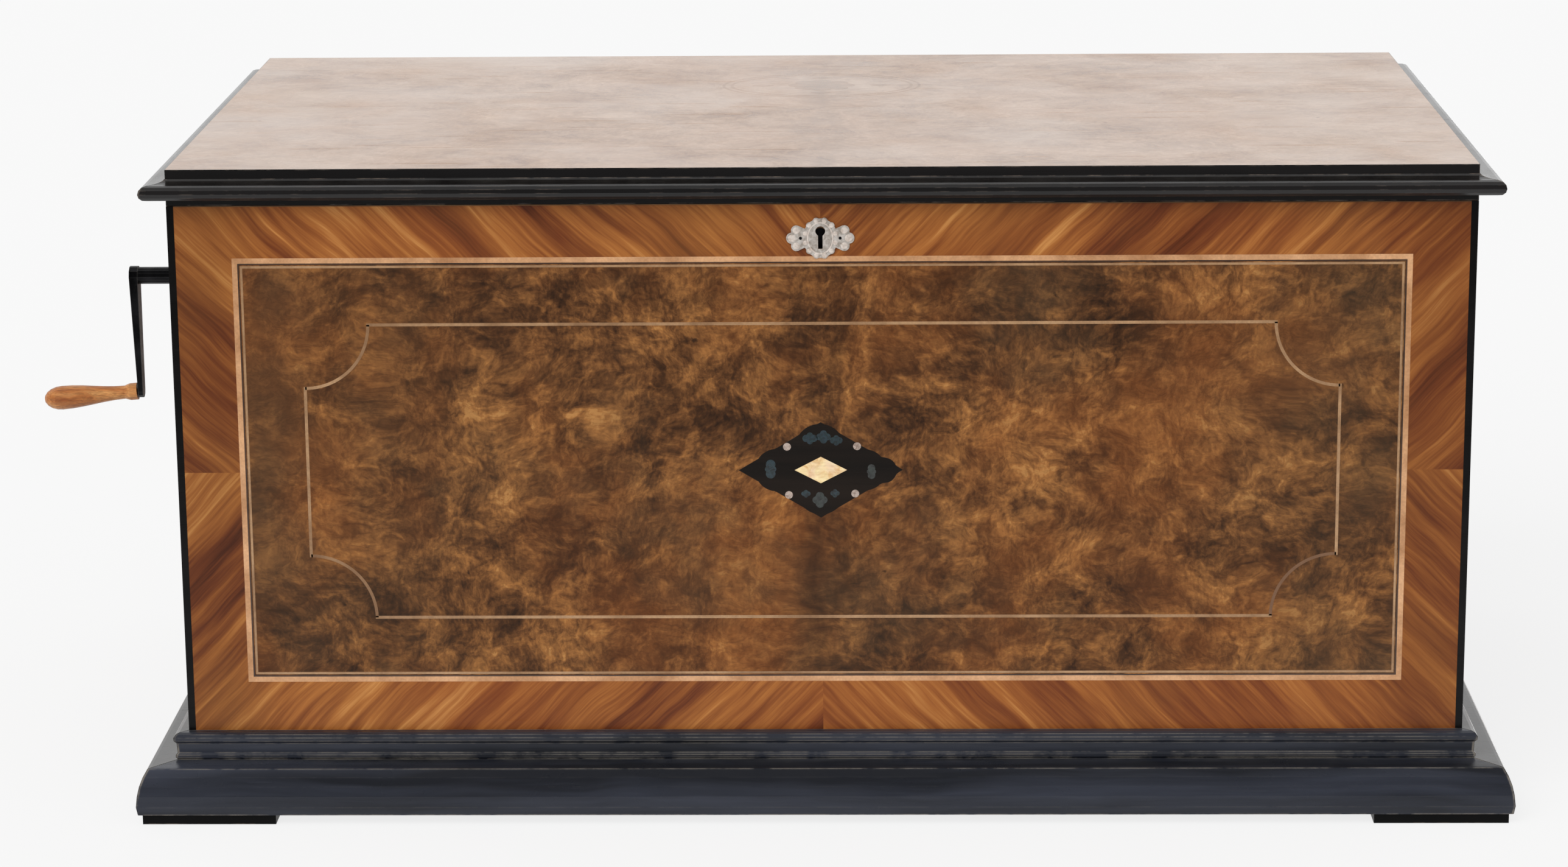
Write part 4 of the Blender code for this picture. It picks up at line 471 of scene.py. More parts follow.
    @classmethod
    def _handling(cls) -> bpy.types.NodeTree:
        """Smudges and hair scratches in a polished surface.

        Returns:
            The effect's group.
        """
        graph, given, close = cls._start(Effect.HANDLING, {"Scale": 12.0}, ("Smudge", "Scratch", "Ripple"))
        smudge = graph.noise(given["Vector"], given["Scale"], 5.0, 0.6, 0.4)
        scratch: Feed = 0.0
        for angle in (0.35, -0.75, 1.35):
            drawn = graph.turn(given["Vector"], (angle * 0.6, angle, angle * 1.3), (angle, 0.0, 0.0),
                               (1.0, 26.0, 26.0))
            line = graph.noise(drawn, graph.times(given["Scale"], 1.1), 2.0, 0.4)
            scratch = graph.math("MAXIMUM", scratch, graph.remap(line, 0.715, 0.735))
        ripple = graph.noise(given["Vector"], graph.times(given["Scale"], 2.5), 1.0)
        return close({"Smudge": smudge, "Scratch": scratch, "Ripple": ripple})

    @classmethod
    def _dust(cls) -> bpy.types.NodeTree:
        """Dust on faces that look up, thickest in corners.

        Returns:
            The effect's group.
        """
        graph, given, close = cls._start(Effect.DUST, {"Amount": 0.5, "Depth": 0.012}, ("Mask",))
        normal = graph.add("ShaderNodeNewGeometry").outputs["Normal"]
        upward = graph.remap(graph.parts(normal)[2], 0.35, 0.95)
        hollow = graph.add("ShaderNodeAmbientOcclusion", {"samples": 6}, {"Distance": given["Depth"]})
        corner = graph.remap(hollow.outputs["AO"], 1.0, 0.45, 0.25, 1.0)
        patch = graph.remap(graph.noise(given["Vector"], 45.0, 5.0, 0.7), 0.30, 0.75)
        amount = graph.times(graph.times(upward, corner), given["Amount"])
        return close({"Mask": graph.times(amount, patch, True)})

    @classmethod
    def _streaks(cls) -> bpy.types.NodeTree:
        """Fine tool marks along X.

        Returns:
            The effect's group.
        """
        graph, given, close = cls._start(Effect.STREAKS, {"Scale": 900.0, "Stretch": 60.0},
                                         ("Streak", "Height"))
        along = graph.math("DIVIDE", 1.0, given["Stretch"])
        drawn = graph.vector("MULTIPLY", given["Vector"], graph.join(along, 1.0, 1.0))
        streak = graph.noise(drawn, given["Scale"], 3.0, 0.7)
        return close({"Streak": streak, "Height": streak})

    @classmethod
    def _tarnish(cls) -> bpy.types.NodeTree:
        """Tarnish in soft patches with fine specks.

        Returns:
            The effect's group.
        """
        graph, given, close = cls._start(Effect.TARNISH, {"Scale": 40.0, "Cover": 0.5}, ("Patch", "Speck"))
        patch = graph.noise(given["Vector"], given["Scale"], 6.0, 0.6, 0.5)
        patch = graph.plus(patch, graph.minus(given["Cover"], 0.5))
        speck = graph.noise(given["Vector"], graph.times(given["Scale"], 14.0), 2.0)
        return close({"Patch": graph.remap(patch, 0.36, 0.66), "Speck": graph.remap(speck, 0.62, 0.72)})


# Finishes

class Surface(Graph):
    """Graph of one material, with its main shader and the object's own coordinates."""

    def __init__(self, title: str) -> None:
        """Open a new material.

        Args:
            title: Name of the material.
        """
        self.material = bpy.data.materials.new(title)
        self.material.use_nodes = True
        super().__init__(self.material.node_tree)
        self.shader = self.tree.nodes["Principled BSDF"]
        self.place = self.add("ShaderNodeTexCoord").outputs["Object"]

    def marks(self, scale: float) -> dict[str, Socket]:
        """Give the outputs of the handling effect at a scale."""
        return self.effect(Effect.HANDLING, {"Vector": self.place, "Scale": scale})

    def polish(self, marks: dict[str, Socket], low: float, high: float, scratch: float = 0.15) -> Socket:
        """Give the roughness of a handled polish.

        Args:
            marks: Outputs of the handling effect.
            low: Roughness where the polish is clean.
            high: Roughness where it is smudged.
            scratch: What a scratch adds.

        Returns:
            The roughness's socket.
        """
        smudged = self.remap(marks["Smudge"], 0.3, 0.7, low, high)
        return self.plus(smudged, self.times(marks["Scratch"], scratch))

    def wear(self, radius: float, reach: float, breakup: float, cover: float) -> Socket:
        """Give the mask of the rubbed edges.

        Args:
            radius: Width of an edge.
            reach: Bend of the normal that counts as a full edge.
            breakup: Patches per unit.
            cover: Share of the edges that is rubbed.

        Returns:
            The mask's socket.
        """
        return self.effect(Effect.EDGE_WEAR, {"Vector": self.place, "Radius": radius, "Reach": reach,
                                              "Breakup": breakup, "Cover": cover})["Mask"]

    def dust(self, amount: float, depth: float = 0.01) -> Socket:
        """Give the mask of the settled dust, thickest in corners of that depth."""
        return self.effect(Effect.DUST, {"Vector": self.place, "Amount": amount, "Depth": depth})["Mask"]

    def close(self, colour: Feed, rough: Feed, relief: tuple[Feed, float, float],
              values: dict[str, Feed]) -> bpy.types.Material:
        """Feed the shader.

        Args:
            colour: Base colour.
            rough: Roughness.
            relief: Height of the bump from zero to one, its strength and its depth in metres.
            values: Other inputs of the shader by name.

        Returns:
            The finished material.
        """
        height, strength, depth = relief
        bump = self.add("ShaderNodeBump", {}, {"Strength": strength, "Distance": depth, "Height": height})
        feeds = {"Base Color": colour, "Roughness": rough, "Normal": bump.outputs[0], **values}
        for name, value in feeds.items():
            self.feed(self.shader.inputs[name], value)
        return self.material


@dataclass(frozen=True)
class Finish:
    """A surface finish that builds its material once."""

    name: str

    def material(self) -> bpy.types.Material:
        """Give the material, built at its first use."""
        found = bpy.data.materials.get(self.title)
        return found if found else self.build()

    @property
    def title(self) -> str:
        """Name of the material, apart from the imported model's own names."""
        return f"finish_{self.name}"

    def build(self) -> bpy.types.Material:
        """Build the material's nodes."""
        raise NotImplementedError


@dataclass(frozen=True)
class Veneer(Finish):
    """Polished straight-grained veneer."""

    stops: Stops = ((0.30, "#4A2A16"), (0.50, "#7A4A26"), (0.68, "#9A6434"))
    turn: Triple = Axis.X.value
    band: float = 60.0
    fibre: float = 700.0
    stretch: float = 14.0
    warp: float = 0.6
    fibre_depth: float = 0.45
    pore_colour: str = "#2A1810"
    pore_share: float = 0.5
    rough: float = 0.30
    coat: float = 0.1
    coat_rough: float = 0.16
    specular: float = 0.35
    age_colour: str = "#4A3A2C"
    age: float = 0.25

    def build(self) -> bpy.types.Material:
        """Build bands, fibres and pores under a worn polish.

        Returns:
            The material.
        """
        graph = Surface(self.title)
        laid = graph.turn(graph.place, self.turn)
        grain = graph.effect(Effect.GRAIN, {"Vector": laid, "Band": self.band, "Fibre": self.fibre,
                                            "Stretch": self.stretch, "Warp": self.warp})
        shade = graph.remap(grain["Fibres"], 0.30, 0.72, 1.0 - self.fibre_depth, 1.0 + self.fibre_depth * 0.5)
        colour = graph.shade(graph.ramp(grain["Figure"], self.stops), shade)
        pores = graph.times(grain["Pores"], self.pore_share)
        colour = graph.mix(pores, colour, tint(self.pore_colour))
        marks = graph.marks(9.0)
        colour = graph.tinge(colour, marks["Smudge"], 0.45, 0.75, self.age, self.age_colour)
        rough = graph.plus(graph.polish(marks, self.rough - 0.06, self.rough + 0.12), graph.times(pores, 0.2))
        height = graph.plus(grain["Height"], graph.times(marks["Ripple"], 0.6))
        return graph.close(colour, rough, (height, 0.22, 0.0004),
                           {"Specular IOR Level": self.specular, "Coat Weight": self.coat,
                            "Coat Roughness": self.coat_rough})


@dataclass(frozen=True)
class CrossBanding(Finish):
    """Tulipwood banding cut on the slant, with broad stripes and fine lines."""

    slant: float = math.pi / 4
    seed: float = 0.0
    centre: float = 0.0
    dark_from: float = 0.300
    dark_to: float = 0.335
    dark_share: float = 0.26
    dark: str = "#3A1C0C"
    red: str = "#84401A"
    ochre: str = "#A8793C"
    stops: Stops = ((0.05, "#451F0E"), (0.28, "#683418"), (0.50, "#864C22"), (0.72, "#A56630"),
                    (0.97, "#CC9050"))
    broad: float = 1.45
    narrow: float = 0.9
    fine: float = 0.7
    rough: float = 0.30
    specular: float = 0.22

    def build(self) -> bpy.types.Material:
        """Build stripes across the slant, with red and ochre drifts and darkened ends.

        Returns:
            The material.
        """
        graph = Surface(self.title)
        laid = graph.turn(graph.place, (0.0, self.slant, 0.0), (self.seed, self.seed, self.seed))
        across, deep, along = graph.parts(laid)
        across = graph.plus(across, graph.swing(graph.noise(laid, 14.0, 2.0), 0.012))
        stripes = []
        for scale, draw, detail in ((40.0, 0.10, 2.0), (130.0, 0.05, 3.0), (560.0, 0.04, 3.0)):
            drawn = graph.join(across, deep, graph.times(along, draw))
            stripes.append(graph.noise(drawn, scale, detail, 0.6))
        colour = graph.ramp(graph.layered(zip(stripes, (self.broad, self.narrow, self.fine))), self.stops)
        colour = graph.tinge(colour, graph.noise(graph.place, 9.0, 3.0), 0.42, 0.66, 0.30, self.red)
        other = graph.turn(graph.place, location=(0.9, 0.3, 0.5))
        colour = graph.tinge(colour, graph.noise(other, 11.0, 3.0), 0.50, 0.70, 0.12, self.ochre)
        aside = graph.math("ABSOLUTE", graph.minus(graph.parts(graph.place)[0], self.centre))
        colour = graph.tinge(colour, aside, self.dark_from, self.dark_to, self.dark_share, self.dark)
        marks = graph.marks(11.0)
        height = graph.plus(graph.times(stripes[2], 0.5), graph.times(marks["Ripple"], 0.6))
        return graph.close(colour, graph.polish(marks, self.rough, self.rough + 0.18), (height, 0.22, 0.0004),
                           {"Specular IOR Level": self.specular})


@dataclass(frozen=True)
class BurrVeneer(Finish):
    """Burr walnut, greyer and darker towards its ends."""

    centre: Triple = (0.0, 0.0, 0.0)
    turn: Triple = (0.0, 0.0, 0.0)
    half_length: float = 0.32
    stops: Stops = ((0.0, "#2D1B0F"), (0.25, "#462B17"), (0.50, "#664123"), (0.70, "#84572F"),
                    (0.90, "#9E6A39"), (1.0, "#B07D47"))
    cool: str = "#4B3A28"
    warm: str = "#8C4F22"
    dark: str = "#20150E"
    cloud: float = 1.5
    blotch: float = 1.7
    mottle: float = 1.15
    grit: float = 0.7
    seam: float = 0.020
    rough: float = 0.36
    specular: float = 0.17
    relief_strength: float = 0.20

    def build(self) -> bpy.types.Material:
        """Build the figure, the drifts of tone over it, and the dark seam, curls and eyes.

        Returns:
            The material.
        """
        graph = Surface(self.title)
        centred = graph.turn(graph.vector("SUBTRACT", graph.place, self.centre), self.turn)
        right, deep, up = graph.parts(centred)
        lean = graph.swing(graph.noise(centred, 7.0, 3.0), 0.09)
        sheet = graph.join(graph.plus(right, lean), deep, graph.times(up, 1.2))
        burr = graph.effect(Effect.BURR, {"Vector": sheet, "Cloud": 14.0, "Curl": 0.55})
        grit = graph.noise(graph.vector("MULTIPLY", sheet, (1.0, 1.0, 0.5)), 420.0, 3.0, 0.6)
        tone = graph.layered(((burr["Clouds"], self.cloud), (burr["Blotch"], self.blotch),
                              (burr["Mottle"], self.mottle), (grit, self.grit)))
        colour = graph.ramp(tone, self.stops)
        colour = graph.tinge(colour, graph.noise(centred, 8.5, 4.0, 0.6), 0.46, 0.66, 0.40, self.warm)
        other = graph.turn(centred, location=(0.4, 0.2, 0.9))
        grey = graph.remap(graph.noise(other, 9.0, 4.0, 0.65), 0.50, 0.68, 0.0, 0.50)
        aside = graph.math("ABSOLUTE", right)
        ends = graph.remap(aside, self.half_length * 0.50, self.half_length, 0.0, 0.50)
        broken = graph.remap(graph.noise(centred, 12.0, 4.0), 0.38, 0.58)
        cool_share = graph.math("MAXIMUM", grey, graph.times(ends, broken))
        # Greys the tone in drifts and towards the ends; on the lid the pale cool colour makes this painted
        # glare
        colour = graph.mix(cool_share, colour, tint(self.cool))
        flame = graph.remap(aside, 0.0, self.seam, 0.55, 0.0)
        upright = graph.vector("MULTIPLY", centred, (1.0, 1.0, 0.3))
        ragged = graph.remap(graph.noise(upright, 60.0, 3.0), 0.42, 0.60)
        curls = graph.remap(burr["Curls"], 0.0, 0.40, 0.22, 0.0)
        for mask in (graph.times(flame, ragged), curls, graph.times(burr["Eyes"], 0.75)):
            colour = graph.mix(mask, colour, tint(self.dark))
        marks = graph.marks(10.0)
        height = graph.plus(burr["Height"], graph.times(marks["Ripple"], 0.8))
        return graph.close(colour, graph.polish(marks, self.rough - 0.07, self.rough + 0.10),
                           (height, self.relief_strength, 0.0005), {"Specular IOR Level": self.specular})


@dataclass(frozen=True)
class Line(Finish):
    """Boxwood stringing, browned with age and fading where it is worn down."""

    bright: str = "#D4A276"
    brown: str = "#AC7A50"
    ground: str = "#6E4A2C"
    fade: float = 0.0
    coat: float = 0.2

    def build(self) -> bpy.types.Material:
        """Build a fine-grained line with stains, which fades into the wood around it.

        Returns:
            The material.
        """
        graph = Surface(self.title)
        stain = graph.remap(graph.noise(graph.place, 38.0, 4.0, 0.65), 0.36, 0.68)
        fine = graph.remap(graph.noise(graph.place, 900.0, 2.0), 0.3, 0.7, 0.88, 1.08)
        colour = graph.shade(graph.mix(stain, tint(self.bright), tint(self.brown)), fine)
        gone = graph.noise(graph.place, 12.0, 5.0, 0.7)
        colour = graph.tinge(colour, gone, 0.62 - self.fade * 0.3, 0.72, min(self.fade * 2.0, 0.95),
                             self.ground)
        rough = graph.remap(stain, 0.0, 1.0, 0.30, 0.45)
        return graph.close(colour, rough, (fine, 0.15, 0.0003), {"Coat Weight": self.coat})


@dataclass(frozen=True)
class Ebonised(Finish):
    """Black-stained and polished wood, brown and grey where its edges are rubbed."""

    colour: str = "#0D0B0B"
    sheen: str = "#1A1717"
    worn: str = "#6E6258"
    dust_colour: str = "#8F8A82"
    edge: float = 0.0010
    cover: float = 0.26
    rough: float = 0.15
    specular: float = 0.42
    dust: float = 0.12
    bloom: float = 0.0
    bloom_rough: float = 0.25

    def build(self) -> bpy.types.Material:
        """Build the black polish with rubbed edges, dust in its corners, and a lighter sheen tone laid by the
        grain.

        Returns:
            The material.
        """
        graph = Surface(self.title)
        grain = graph.effect(Effect.GRAIN, {"Vector": graph.place, "Band": 40.0, "Fibre": 600.0,
                                            "Stretch": 18.0, "Warp": 0.4})
        marks = graph.marks(14.0)
        # The sheen colour follows the grain figure: a grain tone, and on the plinth a painted blue-grey
        # reflection
        colour = graph.tinge(tint(self.colour), grain["Figure"], 0.35, 0.7, 1.0, self.sheen)
        wear = graph.wear(self.edge, 0.10, 70.0, self.cover)
        colour = graph.mix(wear, colour, tint(self.worn))
        dust = graph.dust(self.dust)
        colour = graph.mix(dust, colour, tint(self.dust_colour))
        rough = graph.polish(marks, self.rough - 0.05, self.rough + 0.12, 0.12)
        rough = graph.plus(rough, graph.times(graph.math("MAXIMUM", wear, dust), 0.35), True)
        height = graph.minus(graph.plus(graph.times(grain["Height"], 0.4), marks["Ripple"]), wear)
        return graph.close(colour, rough, (height, 0.14, 0.0004),
                           {"Specular IOR Level": self.specular, "Sheen Weight": self.bloom,
                            "Sheen Roughness": self.bloom_rough})


@dataclass(frozen=True)
class Metal(Finish):
    """Polished or brushed metal with tool marks, tarnish and bright edges."""

    bright: str = "#D8B26A"
    dull: str = "#A5813F"
    speck: str = "#4A3820"
    edge_colour: str = "#F0D9A4"
    dust_colour: str = "#8A8378"
    rough: float = 0.26
    tarnish: float = 0.42
    patch: float = 55.0
    streak: float = 900.0
    edge: float = 0.0006
    metallic: float = 1.0
    dust: float = 0.10

    def build(self) -> bpy.types.Material:
        """Build bright metal under patches of tarnish, with streaks in its roughness.

        Returns:
            The material.
        """
        graph = Surface(self.title)
        tool = graph.effect(Effect.STREAKS, {"Vector": graph.place, "Scale": self.streak, "Stretch": 50.0})
        stain = graph.effect(Effect.TARNISH, {"Vector": graph.place, "Scale": self.patch,
                                              "Cover": self.tarnish})
        colour = graph.mix(stain["Patch"], tint(self.bright), tint(self.dull))
        colour = graph.mix(graph.times(stain["Speck"], 0.45), colour, tint(self.speck))
        wear = graph.wear(self.edge, 0.08, 160.0, 0.62)
        colour = graph.mix(graph.times(wear, 0.7), colour, tint(self.edge_colour))
        dust = graph.dust(self.dust)
        colour = graph.mix(dust, colour, tint(self.dust_colour))
        rough = graph.remap(tool["Streak"], 0.3, 0.7, self.rough - 0.06, self.rough + 0.08)
        rough = graph.plus(rough, graph.times(stain["Patch"], 0.08))
        rough = graph.plus(rough, graph.times(dust, 0.4), True)
        height = graph.minus(graph.times(tool["Height"], 0.6), graph.times(stain["Speck"], 0.4))
        return graph.close(colour, rough, (height, 0.25, 0.0002), {"Metallic": self.metallic})


@dataclass(frozen=True)
class Casting(Finish):
    """Painted or oiled cast iron with a sandy skin."""

    colour: str = "#2B2A2A"
    high: str = "#4A4744"
    worn: str = "#8C8078"
    pit: str = "#171615"
    dust_colour: str = "#9A9184"
    edge: float = 0.0012
    rough: float = 0.48
    metallic: float = 0.35
    dust: float = 0.35

    def build(self) -> bpy.types.Material:
        """Build the sandy skin, rubbed edges and settled dust.

        Returns:
            The material.
        """
        graph = Surface(self.title)
        sand = graph.noise(graph.place, 420.0, 4.0, 0.7)
        broad = graph.noise(graph.place, 18.0, 4.0, 0.6)
        colour = graph.tinge(tint(self.colour), broad, 0.35, 0.7, 1.0, self.high)
        colour = graph.tinge(colour, sand, 0.62, 0.75, 0.6, self.pit)
        colour = graph.mix(graph.wear(self.edge, 0.10, 60.0, 0.5), colour, tint(self.worn))
        dust = graph.dust(self.dust, 0.03)
        colour = graph.mix(dust, colour, tint(self.dust_colour))
        rough = graph.remap(broad, 0.3, 0.7, self.rough - 0.08, self.rough + 0.12)
        return graph.close(colour, graph.plus(rough, graph.times(dust, 0.3), True), (sand, 0.35, 0.0004),
                           {"Metallic": self.metallic})


@dataclass(frozen=True)
class Glass(Finish):
    """Old pane glass, faintly wavy and smeared."""

    clear: str = "#F2F8F6"
    seed: str = "#DDE8E4"
    index: float = 1.5

    def build(self) -> bpy.types.Material:
        """Build clear glass with a ripple, small seeds and smears in its roughness.

        Returns:
            The material.
        """
        graph = Surface(self.title)
        marks = graph.marks(6.0)
        seeds = graph.remap(graph.cells(graph.place, 55.0), 0.06, 0.02)
        colour = graph.mix(seeds, tint(self.clear), tint(self.seed))
        rough = graph.remap(marks["Smudge"], 0.45, 0.75, 0.01, 0.09)
        rough = graph.plus(rough, graph.times(marks["Scratch"], 0.1))
        height = graph.plus(marks["Ripple"], graph.times(seeds, 0.5))
        return graph.close(colour, rough, (height, 0.12, 0.0006),
                           {"Transmission Weight": 1.0, "IOR": self.index})


@dataclass(frozen=True)
class Shell(Finish):
    """Mother-of-pearl or bone, cloudy with fine growth lines."""

    light: str = "#F0D9A8"
    shade: str = "#C89A5C"
    glow: str = "#E8C8B0"
    rough: float = 0.24
    scale: float = 160.0
    coat: float = 0.3

    def build(self) -> bpy.types.Material:
        """Build drifting tones and fine lines under a polish.

        Returns:
            The material.
        """
        graph = Surface(self.title)
        drift = graph.noise(graph.place, self.scale, 4.0, 0.6, 1.0)
        colour = graph.tinge(tint(self.light), drift, 0.42, 0.66, 1.0, self.shade)
        other = graph.turn(graph.place, location=(0.3, 0.6, 0.1))
        colour = graph.tinge(colour, graph.noise(other, self.scale * 0.8, 3.0), 0.45, 0.65, 0.5, self.glow)
        lines = graph.noise(graph.vector("MULTIPLY", graph.place, (0.2, 1.0, 1.0)), self.scale * 8.0, 2.0)
        colour = graph.shade(colour, graph.remap(lines, 0.35, 0.65, 0.92, 1.05))
        rough = graph.remap(drift, 0.3, 0.7, self.rough - 0.05, self.rough + 0.1)
        return graph.close(colour, rough, (lines, 0.12, 0.0002), {"Coat Weight": self.coat})


@dataclass(frozen=True)
class Hide(Finish):
    """Drum skin: mottled, with fibres and stains."""

    light: str = "#E4D3AE"
    shade: str = "#B8996A"
    stain: str = "#8E6A40"

    def build(self) -> bpy.types.Material:
        """Build mottling, fibres and brown stains.

        Returns:
            The material.
        """
        graph = Surface(self.title)
        cloud = graph.noise(graph.place, 60.0, 6.0, 0.65, 0.6)
        colour = graph.tinge(tint(self.light), cloud, 0.38, 0.66, 1.0, self.shade)
        fibres = graph.noise(graph.vector("MULTIPLY", graph.place, (0.3, 1.0, 1.0)), 900.0, 3.0, 0.7)
        colour = graph.shade(colour, graph.remap(fibres, 0.35, 0.65, 0.90, 1.05))
        colour = graph.tinge(colour, graph.noise(graph.place, 110.0, 4.0, 0.6), 0.62, 0.72, 0.5, self.stain)
        rough = graph.remap(cloud, 0.3, 0.7, 0.50, 0.68)
        return graph.close(colour, rough, (graph.plus(fibres, cloud), 0.25, 0.0003), {})


# Pieces

@dataclass(frozen=True)
class Face:
    """A flat side that pieces are laid on. Its own axes are right, up and outward."""

    origin: Vector
    right: Vector
    up: Vector

    @property
    def matrix(self) -> Matrix:
        """Matrix from the face's own axes to the row frame."""
        turn = Matrix((self.right, self.up, self.right.cross(self.up))).transposed()
        return Matrix.Translation(self.origin) @ turn.to_4x4()

    def point(self, right: float, up: float, out: float = 0.0) -> Vector:
        """Point in the row frame from the face's own coordinates."""
        return self.matrix @ Vector((right, up, out))


class Blank:
    """A piece of stock being shaped with mesh operators."""

    def __init__(self) -> None:
        """Start with nothing on the bench."""
        self.build = bmesh.new()

    def slab(self, first: Sequence[float], second: Sequence[float]) -> "Blank":
        """Add a squared slab between two opposite corners.

        Args:
            first: One corner.
            second: The other.

        Returns:
            The blank itself.
        """
        size = [abs(b - a) for a, b in zip(first, second)]
        middle = [(a + b) / 2 for a, b in zip(first, second)]
        matrix = Matrix.Translation(middle) @ Matrix.Diagonal((*size, 1.0))
        bmesh.ops.create_cube(self.build, size=1.0, matrix=matrix)
        return self

    def disc(self, radius: float, low: float, high: float, centre: Sequence[float], facets: int) -> "Blank":
        """Add a round plug along the outward axis.

        Args:
            radius: Its radius.
            low: Height of its foot.
            high: Height of its top.
            centre: Its place on the face.
            facets: Sides of the round.

        Returns:
            The blank itself.
        """
        matrix = Matrix.Translation((centre[0], centre[1], (low + high) / 2))
        bmesh.ops.create_cone(self.build, cap_ends=True, segments=facets, radius1=radius, radius2=radius,
                              depth=high - low, matrix=matrix)
        return self

    def outline(self, rule: Outline, low: float, points: int, filled: bool) -> list[bmesh.types.BMVert]:
        """Draw a closed outline flat on the face.

        Args:
            rule: Rule that gives the place at an angle.
            low: Height of the outline.
            points: Points along it.
            filled: Whether it gets a face.

        Returns:
            Its points.
        """
        made = bmesh.ops.create_circle(self.build, cap_ends=filled, segments=points, radius=1.0)["verts"]
        for vert in made:
            vert.co.x, vert.co.y = rule(math.atan2(vert.co.y, vert.co.x))
            vert.co.z = low
        return made

    def thicken(self, faces: Sequence[bmesh.types.BMFace], depth: float) -> "Blank":
        """Grow flat faces into a plate.

        Args:
            faces: Faces of its underside.
            depth: How thick it gets.

        Returns:
            The blank itself.
        """
        grown = bmesh.ops.extrude_face_region(self.build, geom=faces, use_keep_orig=True)
        tops = [item for item in grown["geom"] if isinstance(item, bmesh.types.BMVert)]
        bmesh.ops.translate(self.build, vec=(0.0, 0.0, depth), verts=tops)
        return self

    def drawn(self, shape: Outline, low: float, high: float, points: int) -> "Blank":
        """Add a flat piece whose outline follows a rule of angle.

        Args:
            shape: Rule that gives the place at an angle.
            low: Height of its underside.
            high: Height of its top.
            points: Points along the outline.

        Returns:
            The blank itself.
        """
        made = self.outline(shape, low, points, True)
        return self.thicken(list({face for vert in made for face in vert.link_faces}), high - low)

    def pierced(self, shape: Outline, hole: Outline, low: float, high: float, points: int = 96) -> "Blank":
        """Add a flat plate with a hole in it.

        Args:
            shape: Rule of the plate's outline.
            hole: Rule of the hole's outline.
            low: Height of its underside.
            high: Height of its top.
            points: Points along each outline.

        Returns:
            The blank itself.
        """
        loops = []
        for rule in (shape, hole):
            made = self.outline(rule, low, points, False)
            loops += list({edge for vert in made for edge in vert.link_edges})
        return self.thicken(bmesh.ops.bridge_loops(self.build, edges=loops)["faces"], high - low)

    def cut(self, point: Sequence[float], away: Sequence[float]) -> "Blank":
        """Saw off what lies beyond a plane and close the cut.

        Args:
            point: Point on the saw cut.
            away: Direction of the waste.

        Returns:
            The blank itself.
        """
        everything = self.build.verts[:] + self.build.edges[:] + self.build.faces[:]
        sawn = bmesh.ops.bisect_plane(self.build, geom=everything, plane_co=point, plane_no=away,
                                      clear_outer=True)
        edges = [item for item in sawn["geom_cut"] if isinstance(item, bmesh.types.BMEdge)]
        bmesh.ops.holes_fill(self.build, edges=edges, sides=0)
        return self

    def ease(self, width: float, segments: int = 2, least: float = 0.9) -> "Blank":
        """Round the edges that are sharper than an angle.

        Args:
            width: Width of the rounding.
            segments: Steps across it.
            least: Least angle of an edge, in radians.

        Returns:
            The blank itself.
        """
        edges = [edge for edge in self.build.edges if edge.calc_face_angle(0.0) > least]
        bmesh.ops.bevel(self.build, geom=edges, offset=width, segments=segments, affect="EDGES",
                        profile=0.5, material=-1)
        return self

    def spun(self, profile: Sequence[Pair], steps: int = 48, angle: float = 2 * math.pi,
             centre: Sequence[float] = (0.0, 0.0)) -> "Blank":
        """Turn a profile about the outward axis.

        Args:
            profile: Radius and height of each point along the profile.
            steps: Steps of the turn.
            angle: Angle of the turn, with open ends closed if it isn't full.
            centre: Place of the axis on the face.

        Returns:
            The blank itself.
        """
        verts = [self.build.verts.new((centre[0] + radius, centre[1], height)) for radius, height in profile]
        edges = [self.build.edges.new(pair) for pair in zip(verts, verts[1:])]
        full = abs(angle - 2 * math.pi) < 1e-6
        if not full:
            edges.append(self.build.edges.new((verts[-1], verts[0])))
        bmesh.ops.spin(self.build, geom=verts + edges, cent=(centre[0], centre[1], 0.0), axis=(0.0, 0.0, 1.0),
                       dvec=(0.0, 0.0, 0.0), angle=angle, steps=steps, use_merge=full, use_duplicate=False)
        if not full:
            rims = [edge for edge in self.build.edges if edge.is_boundary]
            bmesh.ops.holes_fill(self.build, edges=rims, sides=0)
        return self

    def dome(self, radius: float, low: float, height: float, centre: Sequence[float] = (0.0, 0.0),
             steps: int = 20) -> "Blank":
        """Add a low dome on the outward axis.

        Args:
            radius: Radius of its foot.
            low: Height of its foot.
            height: How far it rises.
            centre: Its place on the face.
            steps: Steps of its turn.

        Returns:
            The blank itself.
        """
        angles = [index * math.pi / 10 for index in range(6)]
        arc = [(radius * math.cos(angle), low + height * math.sin(angle)) for angle in angles]
        return self.spun([(0.0, low)] + arc, steps, centre=centre)

    def stud(self, point: Sequence[float], away: Vector, radius: float, height: float, facets: int = 5,
             top: float = 0.7) -> "Blank":
        """Add a tapered stud that stands out in any direction.

        Args:
            point: Middle of its foot.
            away: Direction in which it stands out.
            radius: Radius of its foot.
            height: How far it stands out.
            facets: Sides of the stud.
            top: Share of the radius that is left at its top.

        Returns:
            The blank itself.
        """
        turn = Vector((0.0, 0.0, 1.0)).rotation_difference(away).to_matrix().to_4x4()
        middle = Matrix.Translation(Vector(point) + away.normalized() * (height / 2))
        bmesh.ops.create_cone(self.build, cap_ends=True, segments=facets, radius1=radius,
                              radius2=radius * top, depth=height, matrix=middle @ turn)
        return self

